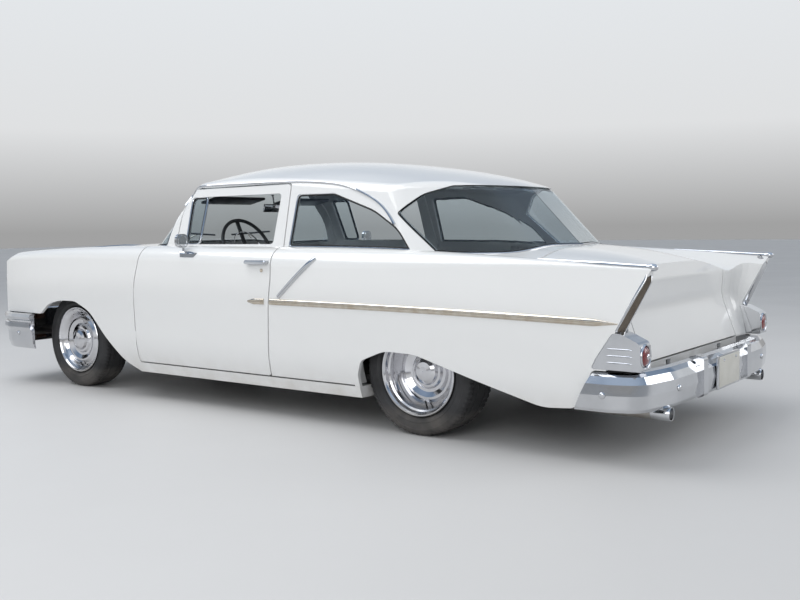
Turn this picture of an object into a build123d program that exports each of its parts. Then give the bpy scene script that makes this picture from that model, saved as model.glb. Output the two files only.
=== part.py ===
"""A 1950s two-door sedan with tail fins, lowered on seventeen-inch smooth chrome wheels.

Frame: X to the car's left, Y to the rear, Z up. The origin is on the ground under the middle
of the car. Millimetres. Outlines seen from the side are lists of (y, z), plan outlines are lists
of (x, y) and sections seen from the front are lists of (x, z).
"""
from build123d import *
from math import hypot, sqrt, radians, cos, sin
import os

os.makedirs("parts", exist_ok=True)

# Stance
FRONT_AXLE_Y = -1702
WHEELBASE = 2921
REAR_AXLE_Y = FRONT_AXLE_Y + WHEELBASE
TYRE_R = 327
SILL_Z = 173

# Wall thicknesses and gaps
SKIN = 20
SIDE_WALL = 95
ROOF_WALL = 34
PANEL_GAP = 8
SEAT_GAP = 0.3
LEDGE_W = 40
LEDGE_T = 8
GLASS = 6
GLASS_INSET = 9

# Body side sections from the sill round the shoulder to the crown of the hood or deck
SECTION_COLUMNS = "y x_sill x_low x_side z_side x_top z_top r_top x_valley z_valley r_valley z_crown"
FRONT_SECTIONS = [  # y from the front axle
    (-858, 800, 850, 862, 640, 838, 915, 50, 640, 888, 300, 905),
    (-498, 860, 905, 912, 660, 878, 942, 60, 630, 925, 300, 945),
    (0, 870, 922, 930, 690, 892, 965, 75, 620, 950, 500, 972),
    (702, 862, 920, 936, 700, 898, 980, 100, 620, 966, 600, 992),
]
CABIN_SECTIONS = [(0, 862, 922, 938, 700, 900, 975, 120, 620, 970, 600, 985)]
REAR_SECTIONS = [  # y from the rear axle
    (-319, 862, 922, 938, 690, 900, 966, 120, 640, 958, 600, 982),
    (281, 868, 922, 937, 670, 894, 956, 80, 680, 915, 300, 972),
    (781, 885, 922, 932, 650, 882, 938, 38, 730, 840, 140, 935),
    (1081, 885, 918, 925, 640, 872, 916, 22, 745, 790, 100, 868),
    (1341, 880, 912, 918, 640, 866, 908, 18, 750, 755, 100, 800),
]
SECTION_FOOT_Z = 150
SECTION_LOW_Z = 330
CROWN_X = 330
LOW_R = 600
SIDE_R = 1200
CROWN_R = 1500

# Plan outlines of the greenhouse at the belt and at the roof rail, front centre to rear centre
BELT_Z = 950
RAIL_Z = 1330
BELT_PLAN = [(0, -1168), (560, -1150), (800, -850), (793, 300), (765, 1150), (500, 1660), (0, 1757)]
RAIL_PLAN = [(0, -800), (430, -790), (662, -620), (672, 300), (648, 950), (410, 1335), (0, 1385)]
PLAN_RADII = [180, 160, 3000, 220, 260]
GLASSHOUSE_FOOT_Z = 820
GLASSHOUSE_HEAD_Z = 1600
ROOF_EDGE_R = 75

# Roof crown along the car: y, height on the centre line, drop at the rail
ROOF_CROWN = [
    (-1300, 1130, 5), (-1050, 1255, 10), (-820, 1350, 25), (-500, 1455, 95), (-100, 1490, 125),
    (400, 1472, 130), (850, 1422, 120), (1200, 1360, 90), (1420, 1285, 60), (1900, 1050, 30),
]
CROWN_DROP_X = 660

# Door seams, window openings and glass lines
DOOR_FOOT_Z = 243
DOOR = [(-909, DOOR_FOOT_Z), (-904, 740), (-866, 945), (-866, 1010), (262, 1010), (282, 800),
        (247, DOOR_FOOT_Z)]
DOOR_RADII = [20, 500, 10, 1, 1, 300, 20]
DOOR_FRAME = [(-645, 880), (-672, 1325), (224, 1330), (262, 955), (262, 880)]
DOOR_FRAME_RADII = [1, 25, 25, 200, 1]
DOOR_SILL_X = 745
FENDER_END_Y = -874
SILL_START_Y = -905
PILLAR_FOOT_X = 798
PILLAR_FOOT_Y = -655
SIDE_WALL_END = -359
WINDOW = [(-573, 985), (176, 985), (164, 1278), (-612, 1276)]
WINDOW_R = 22
VENT_BAR = [(-447, 985), (-469, 1276)]
QUARTER_WINDOW = [(303, 900), (1185, 900), (1040, 1065), (860, 1168), (560, 1268), (291, 1268)]
QUARTER_WINDOW_RADII = [5, 5, 300, 400, 60, 20]
WINDSHIELD = [(-1400, 800), (-756, 800), (-704, 1322), (-760, 1346), (-1400, 1346)]
WINDSHIELD_RADII = [5, 5, 30, 30, 5]
BACKLIGHT = [(1010, 1146), (1110, 1248), (1235, 1290), (1600, 1290), (1950, 1000), (1950, 800),
             (1275, 800), (1282, 925)]
BACKLIGHT_RADII = [12, 120, 60, 5, 5, 5, 5, 60]

# Front end, y from the front axle
FENDER_FOOT_Z = 506
HINGE_PILLAR_Y = (-985, -925)
HINGE_STRAP_X = (880, 925)
HINGE_STRAP_H = 70
HINGE_HEIGHTS = (370, 640)
FRONT_ARCH = [(-1000, 100), (-1000, FENDER_FOOT_Z), (-248, FENDER_FOOT_Z), (-148, 580), (2, 608),
              (162, 608), (317, 548), (452, 410), (642, 229), (772, SILL_Z), (772, 100)]
FRONT_ARCH_RADII = [1, 1, 60, 200, 300, 150, 300, 500, 300, 10, 1]
NOSE = [(-98, 1200), (-398, 1000), (-598, 932), (-743, 866), (-806, 838), (-798, 750),
        (-723, 622), (-723, 560), (-779, 505), (-779, 100), (4700, 100), (4700, 1200)]
NOSE_RADII = [1, 200, 300, 150, 20, 150, 50, 50, 15, 1, 1, 1]
NOSE_PLAN = [(0, -790), (800, -814), (938, -658), (1000, -98), (1000, 4700), (0, 4700)]
NOSE_PLAN_RADII = [1, 110, 300, 1, 1, 1]
HOOD_REAR = 522
HOOD_SIDE_X = 612
HOOD_LIP_Z = 800
LAMP_X = 745
LAMP_Z = 738
LAMP_R = 98
GRILLE_HALF_W = 600
GRILLE_FOOT_Z = 545
GRILLE_HEAD_Z = 780
GRILLE_BARS = 12
GRILLE_ROWS = 4

# Rear end, y from the rear axle
REAR_ARCH = [(-326, 100), (-326, 300), (-294, 380), (-139, 440), (51, 436), (421, 330),
             (761, 237), (931, 250), (1016, 432), (1500, 432), (1500, 100)]
REAR_ARCH_RADII = [1, 60, 60, 200, 300, 600, 300, 60, 30, 1, 1]
FIN_INNER_X = 806
FIN_TAIL = [(1081, 80), (1081, 435), (1119, 595), (1275, 893), (1275, 1250)]
# Rear face across the deck lid: y, z, and how much further back it reaches at the fin
TAIL_FACE = [(1147, 440, 14), (1063, 670, 62), (1073, 800, 92), (1021, 1000, 149)]
TAIL_RADII = [1, 1, 20, 200, 60, 1, 1, 1]
COVE_W = 106
COVE_ANGLES = (0, 30, 50, 70, 90)
TAIL_CUT = 900
DECK_FRONT = 573
DECK_SIDE_X = 645
DECK_FOOT_Z = 442
LAMP_HOUSING = [(1009, 437), (1238, 437), (1236, 556), (1146, 598), (1108, 598), (1030, 482)]
LAMP_HOUSING_RADII = [8, 6, 30, 40, 20, 60]
LAMP_HOUSING_X = (800, 916)
LENS_R = 44

# Floor and frame
FLOOR_Z = 215
FLOOR_T = 12
FIREWALL_Y = -1110
FIREWALL_Z = 940
TOE_Y = -880
TOE_Z = 430
FLOOR_HALF_W = DOOR_SILL_X - SEAT_GAP
REAR_FLOOR_HALF_W = 560
KICK = -359
KICK_RUN = 160
TRUNK_FLOOR_Z = 478
TRUNK_END = 1011
TUNNEL_Z = 395
TUNNEL_HALF_W = 120
TUNNEL_R = 60
RAIL_IN_X = 320
RAIL_W = 90
RAIL_H = 55
RAIL_FRONT_Z = 240
RAIL_MID_Z = 150
RAIL_REAR_Z = 395
RAIL_TAIL_Z = 370
CROSS_W = 90
HITCH_HALF_W = 120
HITCH_T = 12
TOWER_Z = 500
BODY_MOUNTS = (-740, -100, 560)
BODY_MOUNT_R = 30
BRACKET_X = (340, 385)
SEAT_RISER_X = (440, 480)
SPRING_X = (500, 560)
SPRING_T = 24
SPRING_FLAT = 70
SPRING_FRONT = (-599, 120)
SPRING_REAR = (641, 330)
AXLE_TUBE_R = 38
TANK_HALF_W = RAIL_IN_X + RAIL_W - 30
DIFF_R = 130
SHAFT_R = 38
ENGINE = (500, 670, 420)
GEARBOX = (300, 165, 270)
ENGINE_FRONT_Y = -1960
ENGINE_FOOT_Z = 380

# Wheels: tyre width, place of the tyre's middle, depth of the disc behind the lip
FRONT_TYRE_W = 208
FRONT_TRACK_X = 706
FRONT_DISH = 34
REAR_TYRE_W = 245
REAR_TRACK_X = 716
REAR_DISH = 96
RIM_SEAT_R = 214
RIM_LIP_R = 226
LIP_INSET = 7
DISC_T = 14
DRUM_R = 145
DRUM_W = 58
KINGPIN_INSET = 60
KINGPIN_R = 22
KINGPIN_HALF_H = 150

# Fittings on the doors
HANDLE = [(93, 876), (264, 876), (264, 898), (93, 898)]
HANDLE_STAND = 26
MIRROR_FOOT = [(-504, 860), (-353, 860), (-353, 935), (-504, 960)]
MIRROR_BASE_T = 10

# Cabin
SEAT_FOOT_Z = TUNNEL_Z + SEAT_GAP
CUSHION_H = 150
DRIVER_X = 380
WHEEL_CENTRE = (-440, 950)
STEERING_R = 200
COLUMN_R = 26
COLUMN_LEAN = 25


def inset_line(points, t):
    """An open polyline moved to the left of its own direction by t."""
    if t == 0:
        return list(points)
    dirs = []
    for (a, b), (c, d) in zip(points, points[1:]):
        run = hypot(c - a, d - b)
        dirs.append(((c - a) / run, (d - b) / run))
    moved = []
    for i, (px, py) in enumerate(points):
        ax, ay = dirs[max(i - 1, 0)]
        bx, by = dirs[min(i, len(dirs) - 1)]
        nx, ny = -(ay + by), ax + bx
        k = t / (ax * ny - ay * nx)
        moved.append((px + nx * k, py + ny * k))
    return moved


def grown(points, t):
    """A closed polygon made larger by t on every side."""
    area = sum(a * d - b * c for (a, b), (c, d) in zip(points, points[1:] + points[:1]))
    loop = [points[-1]] + list(points) + [points[0]]
    return inset_line(loop, -t if area > 0 else t)[1:-1]


def at_front(points):
    return [(y + FRONT_AXLE_Y, z) for y, z in points]


def at_rear(points):
    return [(y + REAR_AXLE_Y, z) for y, z in points]


def closed_face(points, radii, place):
    """A polygon with rounded corners; place turns (u, v) into a point."""
    pts = [Vector(*place(u, v)) for u, v in points]
    if isinstance(radii, (int, float)):
        radii = [radii] * len(points)
    return make_face(FilletPolyline(*pts, radius=[max(r, 0.5) for r in radii], close=True).edges())


def side_prism(points, radii, x0, x1):
    """A side outline (y, z) extruded from x0 to x1."""
    return extrude(closed_face(points, radii, lambda y, z: (x0, y, z)), amount=x1 - x0, dir=(1, 0, 0))


def plan_prism(points, radii, z0, z1):
    """A plan outline (x, y) extruded from z0 to z1."""
    return extrude(closed_face(points, radii, lambda x, y: (x, y, z0)), amount=z1 - z0, dir=(0, 0, 1))


def front_prism(points, radii, y0, y1):
    """A front outline (x, z) extruded from y0 to y1."""
    return extrude(closed_face(points, radii, lambda x, z: (x, y0, z)), amount=y1 - y0, dir=(0, 1, 0))


def block(x0, x1, y0, y1, z0, z1):
    return Pos((x0 + x1) / 2, (y0 + y1) / 2, (z0 + z1) / 2) * Box(x1 - x0, y1 - y0, z1 - z0)


def side_plate(line, t, x0, x1):
    """A plate of thickness t on the left of a side line, from x0 to x1."""
    return side_prism(line + inset_line(line, t)[::-1], 0.5, x0, x1)


def mirrored(shape):
    return mirror(shape, about=Plane.YZ)


def group(*shapes):
    """Several solids kept apart in one piece."""
    return Compound(children=[solid for shape in shapes for solid in shape.solids()])


def pair(shape):
    return group(shape, mirrored(shape))


def whole(half):
    return half + mirrored(half)


def save(name, shape):
    solids = [s for s in shape.solids() if s.volume > 200]
    export_step(solids[0] if len(solids) == 1 else Compound(children=solids), f"parts/{name}.step")


def save_sides(name, left):
    save(f"{name}_left", left)
    save(f"{name}_right", mirrored(left))


def half_section(row, t):
    r = dict(zip(SECTION_COLUMNS.split(), row))
    line = [(r["x_sill"], SECTION_FOOT_Z), (r["x_low"], SECTION_LOW_Z), (r["x_side"], r["z_side"]),
            (r["x_top"], r["z_top"]), (r["x_valley"], r["z_valley"]), (CROWN_X, r["z_crown"]),
            (0, r["z_crown"])]
    radii = [LOW_R, SIDE_R, r["r_top"], r["r_valley"], CROWN_R]
    moved = inset_line(line, t)
    moved[-1] = (0, moved[-1][1])
    return moved, [max(k - t, 3) for k in radii]


def placed_sections():
    rows = [(FRONT_AXLE_Y + r[0],) + r[1:] for r in FRONT_SECTIONS]
    rows += CABIN_SECTIONS
    return rows + [(REAR_AXLE_Y + r[0],) + r[1:] for r in REAR_SECTIONS]


def body_solid(t=0, rows=None, foot_z=SECTION_FOOT_Z):
    """Left half of the lower body, its surface moved inwards by t."""
    wires = []
    for row in rows or placed_sections():
        y = row[0]
        line, radii = half_section(row, t)
        pts = [Vector(x, y, z) for x, z in line]
        top = FilletPolyline(*pts, radius=radii)
        foot = [Vector(0, y, foot_z), Vector(pts[0].X, y, foot_z)]
        edges = top.edges() + [Line(pts[-1], foot[0]).edge(), Line(foot[0], foot[1]).edge()]
        if (foot[1] - pts[0]).length > 0.01:
            edges.append(Line(foot[1], pts[0]).edge())
        wires.append(Wire(edges))
    return Solid.make_loft(wires, False)


def glasshouse(t=0):
    """Left half of the greenhouse, its surface moved inwards by t."""
    wires = []
    for z in (GLASSHOUSE_FOOT_Z, GLASSHOUSE_HEAD_Z):
        k = (z - BELT_Z) / (RAIL_Z - BELT_Z)
        line = [(a + (c - a) * k, b + (d - b) * k) for (a, b), (c, d) in zip(BELT_PLAN, RAIL_PLAN)]
        pts = [Vector(x, y, z) for x, y in inset_line(line, t)]
        pts[0].X = pts[-1].X = 0
        top = FilletPolyline(*pts, radius=[max(r - t, 20) for r in PLAN_RADII])
        wires.append(Wire(top.edges() + [Line(pts[-1], pts[0]).edge()]))
    plan = Solid.make_loft(wires, True)
    reach, foot_z = 1000, 600
    arcs = []
    for y, top_z, drop in ROOF_CROWN:
        r = (CROWN_DROP_X ** 2 + drop ** 2) / (2 * drop)
        arc = [(x, y, top_z - t - r + sqrt(r * r - x * x)) for x in (0, reach / 2, reach)]
        foot = [(reach, y, foot_z), (0, y, foot_z)]
        lines = [Line(arc[2], foot[0]), Line(foot[0], foot[1]), Line(foot[1], arc[0])]
        arcs.append(Wire([ThreePointArc(*arc).edge()] + [line.edge() for line in lines]))
    shape = (plan & Solid.make_loft(arcs, False)).solids()[0]
    top = max([f for f in shape.faces() if f.center().Z > RAIL_Z - 30], key=lambda f: f.area)
    edges = [e for e in top.edges() if (e @ 0).X > 1 or (e @ 1).X > 1]
    return shape.fillet(max(ROOF_EDGE_R - t, 15), edges)


def tail_outline(front_y, depth=0, wall=0):
    """The rear face from the side; depth is the share of its reach at the fin."""
    rear = at_rear([(y + reach * depth - wall, z) for y, z, reach in TAIL_FACE])
    return [(front_y, 80), (rear[0][0], 80)] + rear + [(rear[-1][0], 1250), (front_y, 1250)]


def tail_zone(front_y):
    """What the rear face and the fins leave of the body behind front_y, with a cove at each fin."""
    wires = []
    cove_x = FIN_INNER_X - COVE_W
    turns = [radians(a) for a in COVE_ANGLES]
    columns = [(-10, 0)] + [(cove_x + COVE_W * sin(a), 1 - cos(a)) for a in turns]
    for x, depth in columns:
        face = closed_face(tail_outline(front_y, depth), TAIL_RADII, lambda y, z: (x, y, z))
        wires.append(face.faces()[0].outer_wire())
    fin = [(front_y, 80)] + at_rear(FIN_TAIL) + [(front_y, 1250)]
    return Solid.make_loft(wires, True) + side_prism(fin, 1, FIN_INNER_X, 1100)


def nose_cut(shape, t):
    """The front of the body, or its inside when t is the wall, cut to the nose's outlines."""
    shape = shape & block(-10, 1100, nose_y, PILLAR_FOOT_Y + 10, 80, 1250)
    side_line = at_front([(y + t, z) if y < -90 else (y, z) for y, z in NOSE])
    plan = [(x, y + FRONT_AXLE_Y + (t if y < 0 else 0)) for x, y in NOSE_PLAN]
    shape = shape & side_prism(side_line, NOSE_RADII, -10, 1100)
    return shape & plan_prism(plan, NOSE_PLAN_RADII, 80, 1250)


def tail_cut(shape, t):
    """The rest of the body, or its inside when t is the wall, cut to the tail's outlines."""
    start_y, cut_y = SILL_START_Y - 95, REAR_AXLE_Y + TAIL_CUT
    if t:
        outline = tail_outline(start_y - 5, wall=t)
        shape = shape & block(-10, 1100, start_y, tail_y, 80, 1250)
        return shape & side_prism(outline, TAIL_RADII, -20, 1110)
    end = shape & block(-10, 1100, cut_y, tail_y, 80, 1250)
    end = end & tail_zone(cut_y - 5)
    return (shape & block(-10, 1100, start_y, cut_y, 80, 1250)) + end


hood_rear_y = FRONT_AXLE_Y + HOOD_REAR
nose_y = FRONT_AXLE_Y - 900
deck_front_y = REAR_AXLE_Y + DECK_FRONT
tail_y = REAR_AXLE_Y + 1400
body = body_solid()
body_inner = body_solid(SKIN, foot_z=90)
cabin_rows = [r for r in placed_sections() if FRONT_AXLE_Y + 600 < r[0] < REAR_AXLE_Y + 400]
cabin_inner = body_solid(SIDE_WALL, cabin_rows, foot_z=90)
body_clear = body_solid(-SEAT_GAP)
body_core = body_solid(SKIN / 2, foot_z=90)
body_seat = body_solid(SKIN + SEAT_GAP, foot_z=90)
body_ledge = body_solid(SKIN + SEAT_GAP + LEDGE_T, foot_z=90)
house = glasshouse()
house_inner = glasshouse(ROOF_WALL)
house_shell = house - house_inner
glass_skin = glasshouse(GLASS_INSET) - glasshouse(GLASS_INSET + GLASS)

front_skin = nose_cut(body, 0) - nose_cut(body_inner, SKIN)
rear_outer = tail_cut(body, 0)
rear_skin = rear_outer - tail_cut(body_inner, SKIN)
wall_end_y = REAR_AXLE_Y + SIDE_WALL_END
side = rear_outer & block(DOOR_SILL_X, 1000, SILL_START_Y - 94, wall_end_y + 1, SILL_Z, 1100)
side = side - cabin_inner

SIDE_X = (400, 1100)
arch = side_prism(at_front(FRONT_ARCH), FRONT_ARCH_RADII, *SIDE_X)
rear_arch = side_prism(at_rear(REAR_ARCH), REAR_ARCH_RADII, *SIDE_X)
pillar_foot = block(400, PILLAR_FOOT_X, -1000, PILLAR_FOOT_Y, 850, 1100)
pillar_clear = block(399, PILLAR_FOOT_X + PANEL_GAP, -1001, PILLAR_FOOT_Y + PANEL_GAP, 849, 1100)
door_hole = side_prism(grown(DOOR, PANEL_GAP), DOOR_RADII, *SIDE_X) - pillar_foot
door_zone = side_prism(DOOR, DOOR_RADII, *SIDE_X) - pillar_clear
frame_hole = side_prism(grown(DOOR_FRAME, PANEL_GAP), DOOR_FRAME_RADII, *SIDE_X)
frame_zone = side_prism(DOOR_FRAME, DOOR_FRAME_RADII, *SIDE_X)


def ledge(seam_y, under_y, half_w):
    """A flange from behind a seam to under the next panel's edge, which rests on it."""
    step = LEDGE_T if seam_y > under_y else -LEDGE_T
    low_y, high_y = sorted((under_y, seam_y + step / LEDGE_T))
    web_low, web_high = sorted((seam_y, seam_y + step))
    flange = body_seat & block(-10, half_w, low_y, high_y, 800, 1200)
    web = body_core & block(-10, half_w, web_low, web_high, 800, 1200)
    return (flange - body_ledge) + (web - body_ledge)


def hinge_pillar():
    """The post ahead of the door from sill to cowl, with two straps to the door's front edge."""
    low_y, high_y = HINGE_PILLAR_Y
    post = body_seat & block(DOOR_SILL_X, 1000, low_y, high_y, DOOR_FOOT_Z, 1100)
    head = body_core & block(DOOR_SILL_X, PILLAR_FOOT_X - SEAT_GAP, low_y, high_y, 850, 1100)
    post = post + head
    door_edge = side_prism(grown(DOOR, SEAT_GAP), DOOR_RADII, *SIDE_X)
    fender_edge = side_prism(grown(DOOR, PANEL_GAP - SEAT_GAP), DOOR_RADII, *SIDE_X)
    strap_low, strap_high = HINGE_STRAP_X
    for z in HINGE_HEIGHTS:
        top_z = z + HINGE_STRAP_H
        arm = block(strap_low - 80, strap_low + 2, high_y - 1, FENDER_END_Y, z, top_z)
        strap = block(strap_low, strap_high, high_y, FENDER_END_Y, z, top_z) & fender_edge
        post = post + ((strap + arm) - door_edge)
    return post


def build_front_body():
    hood = front_skin & block(-10, HOOD_SIDE_X, nose_y, hood_rear_y, HOOD_LIP_Z, 1200)
    save("hood", whole(hood))

    hood_hole = block(-10, HOOD_SIDE_X + PANEL_GAP, nose_y, hood_rear_y + PANEL_GAP,
                      HOOD_LIP_Z - PANEL_GAP, 1200)
    grille_cut = front_prism([(-700, GRILLE_FOOT_Z), (GRILLE_HALF_W, GRILLE_FOOT_Z),
                              (GRILLE_HALF_W, GRILLE_HEAD_Z), (-700, GRILLE_HEAD_Z)],
                             [1, 60, 60, 1], nose_y, FRONT_AXLE_Y - 600)
    lamp_cut = Pos(LAMP_X, FRONT_AXLE_Y - 760, LAMP_Z) * Rot(90, 0, 0) * Cylinder(LAMP_R, 300)
    cowl_front_y = hood_rear_y + PANEL_GAP
    fender = front_skin & block(HOOD_SIDE_X - PANEL_GAP, 1000, nose_y, FENDER_END_Y, SILL_Z, 1200)
    fender = fender - [hood_hole, arch, door_hole, grille_cut, lamp_cut,
                       block(400, PILLAR_FOOT_X, cowl_front_y - SEAT_GAP, -500, 850, 1200),
                       block(400, DOOR_SILL_X, FIREWALL_Y, -500, 100, 850),
                       block(400, 1000, SILL_START_Y - SEAT_GAP, -500, 100, DOOR_FOOT_Z)]
    save_sides("front_fender", fender)

    cowl = front_skin & block(-10, PILLAR_FOOT_X - SEAT_GAP, cowl_front_y, PILLAR_FOOT_Y, 850, 1200)
    cowl = (cowl - house_inner) + ledge(cowl_front_y, hood_rear_y - LEDGE_W, HOOD_SIDE_X - LEDGE_W)
    save("cowl", whole(cowl + hinge_pillar()))

    nose_pan = front_skin & block(-10, HOOD_SIDE_X - PANEL_GAP - SEAT_GAP, nose_y,
                                  FRONT_AXLE_Y - 600, FENDER_FOOT_Z, HOOD_LIP_Z - PANEL_GAP)
    save("grille", whole(nose_pan - grille_cut) + grille_bars())

    ring = [(LAMP_R - SEAT_GAP, 0), (LAMP_R - SEAT_GAP, 80), (0, 80), (0, 28), (50, 36), (74, 50),
            (76, 26), (88, 2), (92, 0)]
    face = make_face(Polyline(*[(r, 0, y) for r, y in ring], close=True).edges())
    lamp = revolve(face, axis=Axis.Z)
    lamp = Pos(LAMP_X, FRONT_AXLE_Y - 790, LAMP_Z) * Rot(-90, 0, 0) * lamp
    save("headlamps", pair(lamp))


def grille_bars():
    """Fine upright and level bars behind one heavy bar across the opening."""
    face_y = FRONT_AXLE_Y - 700
    bars = [block(-GRILLE_HALF_W - 1, GRILLE_HALF_W + 1, face_y, face_y + 14, z - 4, z + 4)
            for z in spread(GRILLE_FOOT_Z, GRILLE_HEAD_Z, GRILLE_ROWS)]
    bars += [block(x - 3, x + 3, face_y + 2, face_y + 16, GRILLE_FOOT_Z - 1, GRILLE_HEAD_Z + 1)
             for x in spread(-GRILLE_HALF_W, GRILLE_HALF_W, GRILLE_BARS)]
    middle_z = (GRILLE_FOOT_Z + GRILLE_HEAD_Z) / 2
    bars.append(block(-GRILLE_HALF_W - 2, GRILLE_HALF_W + 2, face_y - 40, face_y + 1,
                      middle_z - 22, middle_z + 22))
    return bars


def spread(low, high, count):
    """Places between low and high, as many as count, evenly spaced."""
    step = (high - low) / (count + 1)
    return [low + step * (i + 1) for i in range(count)]


def window_cut(outline, radii, gap=0, x0=-10):
    """A side outline through the greenhouse, smaller by a seating gap for the glass."""
    return side_prism(grown(outline, -gap) if gap else outline, radii, x0, 1100)


def glass(cut):
    return (glass_skin & cut) - body_clear


def build_greenhouse():
    roof = house_shell - [frame_hole, window_cut(WINDSHIELD, WINDSHIELD_RADII),
                          window_cut(BACKLIGHT, BACKLIGHT_RADII),
                          window_cut(QUARTER_WINDOW, QUARTER_WINDOW_RADII, x0=300)]
    save("roof_panel", whole(roof - body_clear))
    save("windshield", whole(glass(window_cut(WINDSHIELD, WINDSHIELD_RADII, SEAT_GAP))))
    save("rear_window", whole(glass(window_cut(BACKLIGHT, BACKLIGHT_RADII, SEAT_GAP))))
    quarter = window_cut(QUARTER_WINDOW, QUARTER_WINDOW_RADII, SEAT_GAP, 300)
    save("quarter_windows", pair(glass(quarter)))


def build_doors():
    door = (side & door_zone) + (house_shell & frame_zone)
    save_sides("door", door - side_prism(WINDOW, WINDOW_R, *SIDE_X))
    vent = [WINDOW[0], VENT_BAR[0], VENT_BAR[1], WINDOW[3]]
    save_sides("vent_windows", glass_skin & side_prism(grown(vent, -SEAT_GAP), WINDOW_R, *SIDE_X))

    base = plan_prism([(840, -506), (905, -506), (905, -350), (840, -350)], 24, 880, 945)
    base = base & body_solid(-MIRROR_BASE_T) & side_prism(MIRROR_FOOT, 4, 830, 930)
    stalk = Pos(884, -478, 968) * Cylinder(7, 70)
    head = Pos(898, -478, 1008) * Box(92, 18, 84)
    head = fillet(head.edges().filter_by(Axis.Y), 34)
    handle = side_prism(HANDLE, 10, 880, 941)
    handle = handle & body_solid(-HANDLE_STAND)
    save_sides("door_fittings", group((base + stalk + head) - body_clear, handle - body_clear))


def build_rear_body():
    sill_box = (DOOR_SILL_X, 1000, SILL_START_Y, REAR_AXLE_Y - 329, SILL_Z, DOOR_FOOT_Z - PANEL_GAP)
    sill = rear_outer & block(*sill_box)
    save("rocker_sills", pair(sill - cabin_inner))

    deck = rear_skin & block(-10, DECK_SIDE_X, deck_front_y, tail_y, DECK_FOOT_Z, 1200)
    save("deck_lid", whole(deck))

    housing_low, housing_high = LAMP_HOUSING_X
    quarter = (side & block(DOOR_SILL_X, 1000, 200, wall_end_y, DOOR_FOOT_Z, 1200)) + \
        (rear_skin & block(DECK_SIDE_X + PANEL_GAP, 1000, wall_end_y - 1, tail_y, SILL_Z, 1200))
    housing = at_rear(LAMP_HOUSING)
    quarter = quarter - [door_hole, rear_arch, house_inner,
                         block(400, 1000, 240, REAR_AXLE_Y - 326, 100,
                               DOOR_FOOT_Z - PANEL_GAP + SEAT_GAP),
                         side_prism(grown(housing, SEAT_GAP), LAMP_HOUSING_RADII,
                                    housing_low - SEAT_GAP, 1000)]
    save_sides("quarter_panel", quarter)

    lamp = side_prism(housing, LAMP_HOUSING_RADII, housing_low, housing_high)
    rear_y = max(y for y, z in housing)
    lens_x, lens_z = (housing_low + housing_high) / 2, 500
    recess = Pos(lens_x, rear_y - 10, lens_z) * Rot(90, 0, 0) * Cylinder(LENS_R + 4, 30)
    save("tail_lamps", pair(lamp - recess))
    lens = Pos(lens_x, rear_y - 15 + SEAT_GAP, lens_z) * Rot(90, 0, 0) * Cylinder(LENS_R, 20)
    save("tail_lenses", pair(lens))

    shelf = rear_skin & block(-10, DECK_SIDE_X + PANEL_GAP - SEAT_GAP, REAR_AXLE_Y - 69,
                         deck_front_y - PANEL_GAP, 800, 1200)
    shelf = (shelf - house_inner) + \
        ledge(deck_front_y - PANEL_GAP, deck_front_y + LEDGE_W, DECK_SIDE_X - LEDGE_W)
    save("rear_deck", whole(shelf))

    tail = rear_skin & block(-10, DECK_SIDE_X + PANEL_GAP - SEAT_GAP, REAR_AXLE_Y + 981, tail_y, 300,
                        DECK_FOOT_Z - PANEL_GAP)
    bracket_low, bracket_high = BRACKET_X
    tail = tail - block(bracket_low - PANEL_GAP, bracket_high + PANEL_GAP, 2000, tail_y,
                        RAIL_TAIL_Z - PANEL_GAP, RAIL_TAIL_Z + RAIL_H)
    save("tail_panel", whole(tail))


def build_floor():
    line = [(FIREWALL_Y, FIREWALL_Z), (FIREWALL_Y, TOE_Z), (TOE_Y, FLOOR_Z)]
    line += at_rear([(KICK, FLOOR_Z), (KICK + KICK_RUN, TRUNK_FLOOR_Z), (TRUNK_END, TRUNK_FLOOR_Z)])
    rear = side_plate(line, FLOOR_T, -REAR_FLOOR_HALF_W, REAR_FLOOR_HALF_W)
    front = side_plate(line[:4], FLOOR_T, -FLOOR_HALF_W, FLOOR_HALF_W)
    section = [(-TUNNEL_HALF_W, FLOOR_Z), (-TUNNEL_HALF_W * 0.6, TUNNEL_Z),
               (TUNNEL_HALF_W * 0.6, TUNNEL_Z), (TUNNEL_HALF_W, FLOOR_Z)]
    inside = inset_line(section, -FLOOR_T)
    inside = [(inside[0][0], 0)] + inside[1:3] + [(inside[3][0], 0)]
    end_y = REAR_AXLE_Y + KICK + KICK_RUN
    ridge = front_prism(section, [1, TUNNEL_R, TUNNEL_R, 1], FIREWALL_Y, end_y)
    hollow = front_prism(inside, [1, TUNNEL_R, TUNNEL_R, 1], FIREWALL_Y - 20, end_y + 5)
    floor = front + rear + ridge - hollow
    riser_low, riser_high = SEAT_RISER_X
    for start_y, stop_y in ((-400, 40), (500, 840)):
        riser = block(riser_low, riser_high, start_y, stop_y, FLOOR_Z + 1, SEAT_FOOT_Z - SEAT_GAP)
        floor = floor + [riser, mirrored(riser)]
    save("floor_pan", floor)


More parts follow.
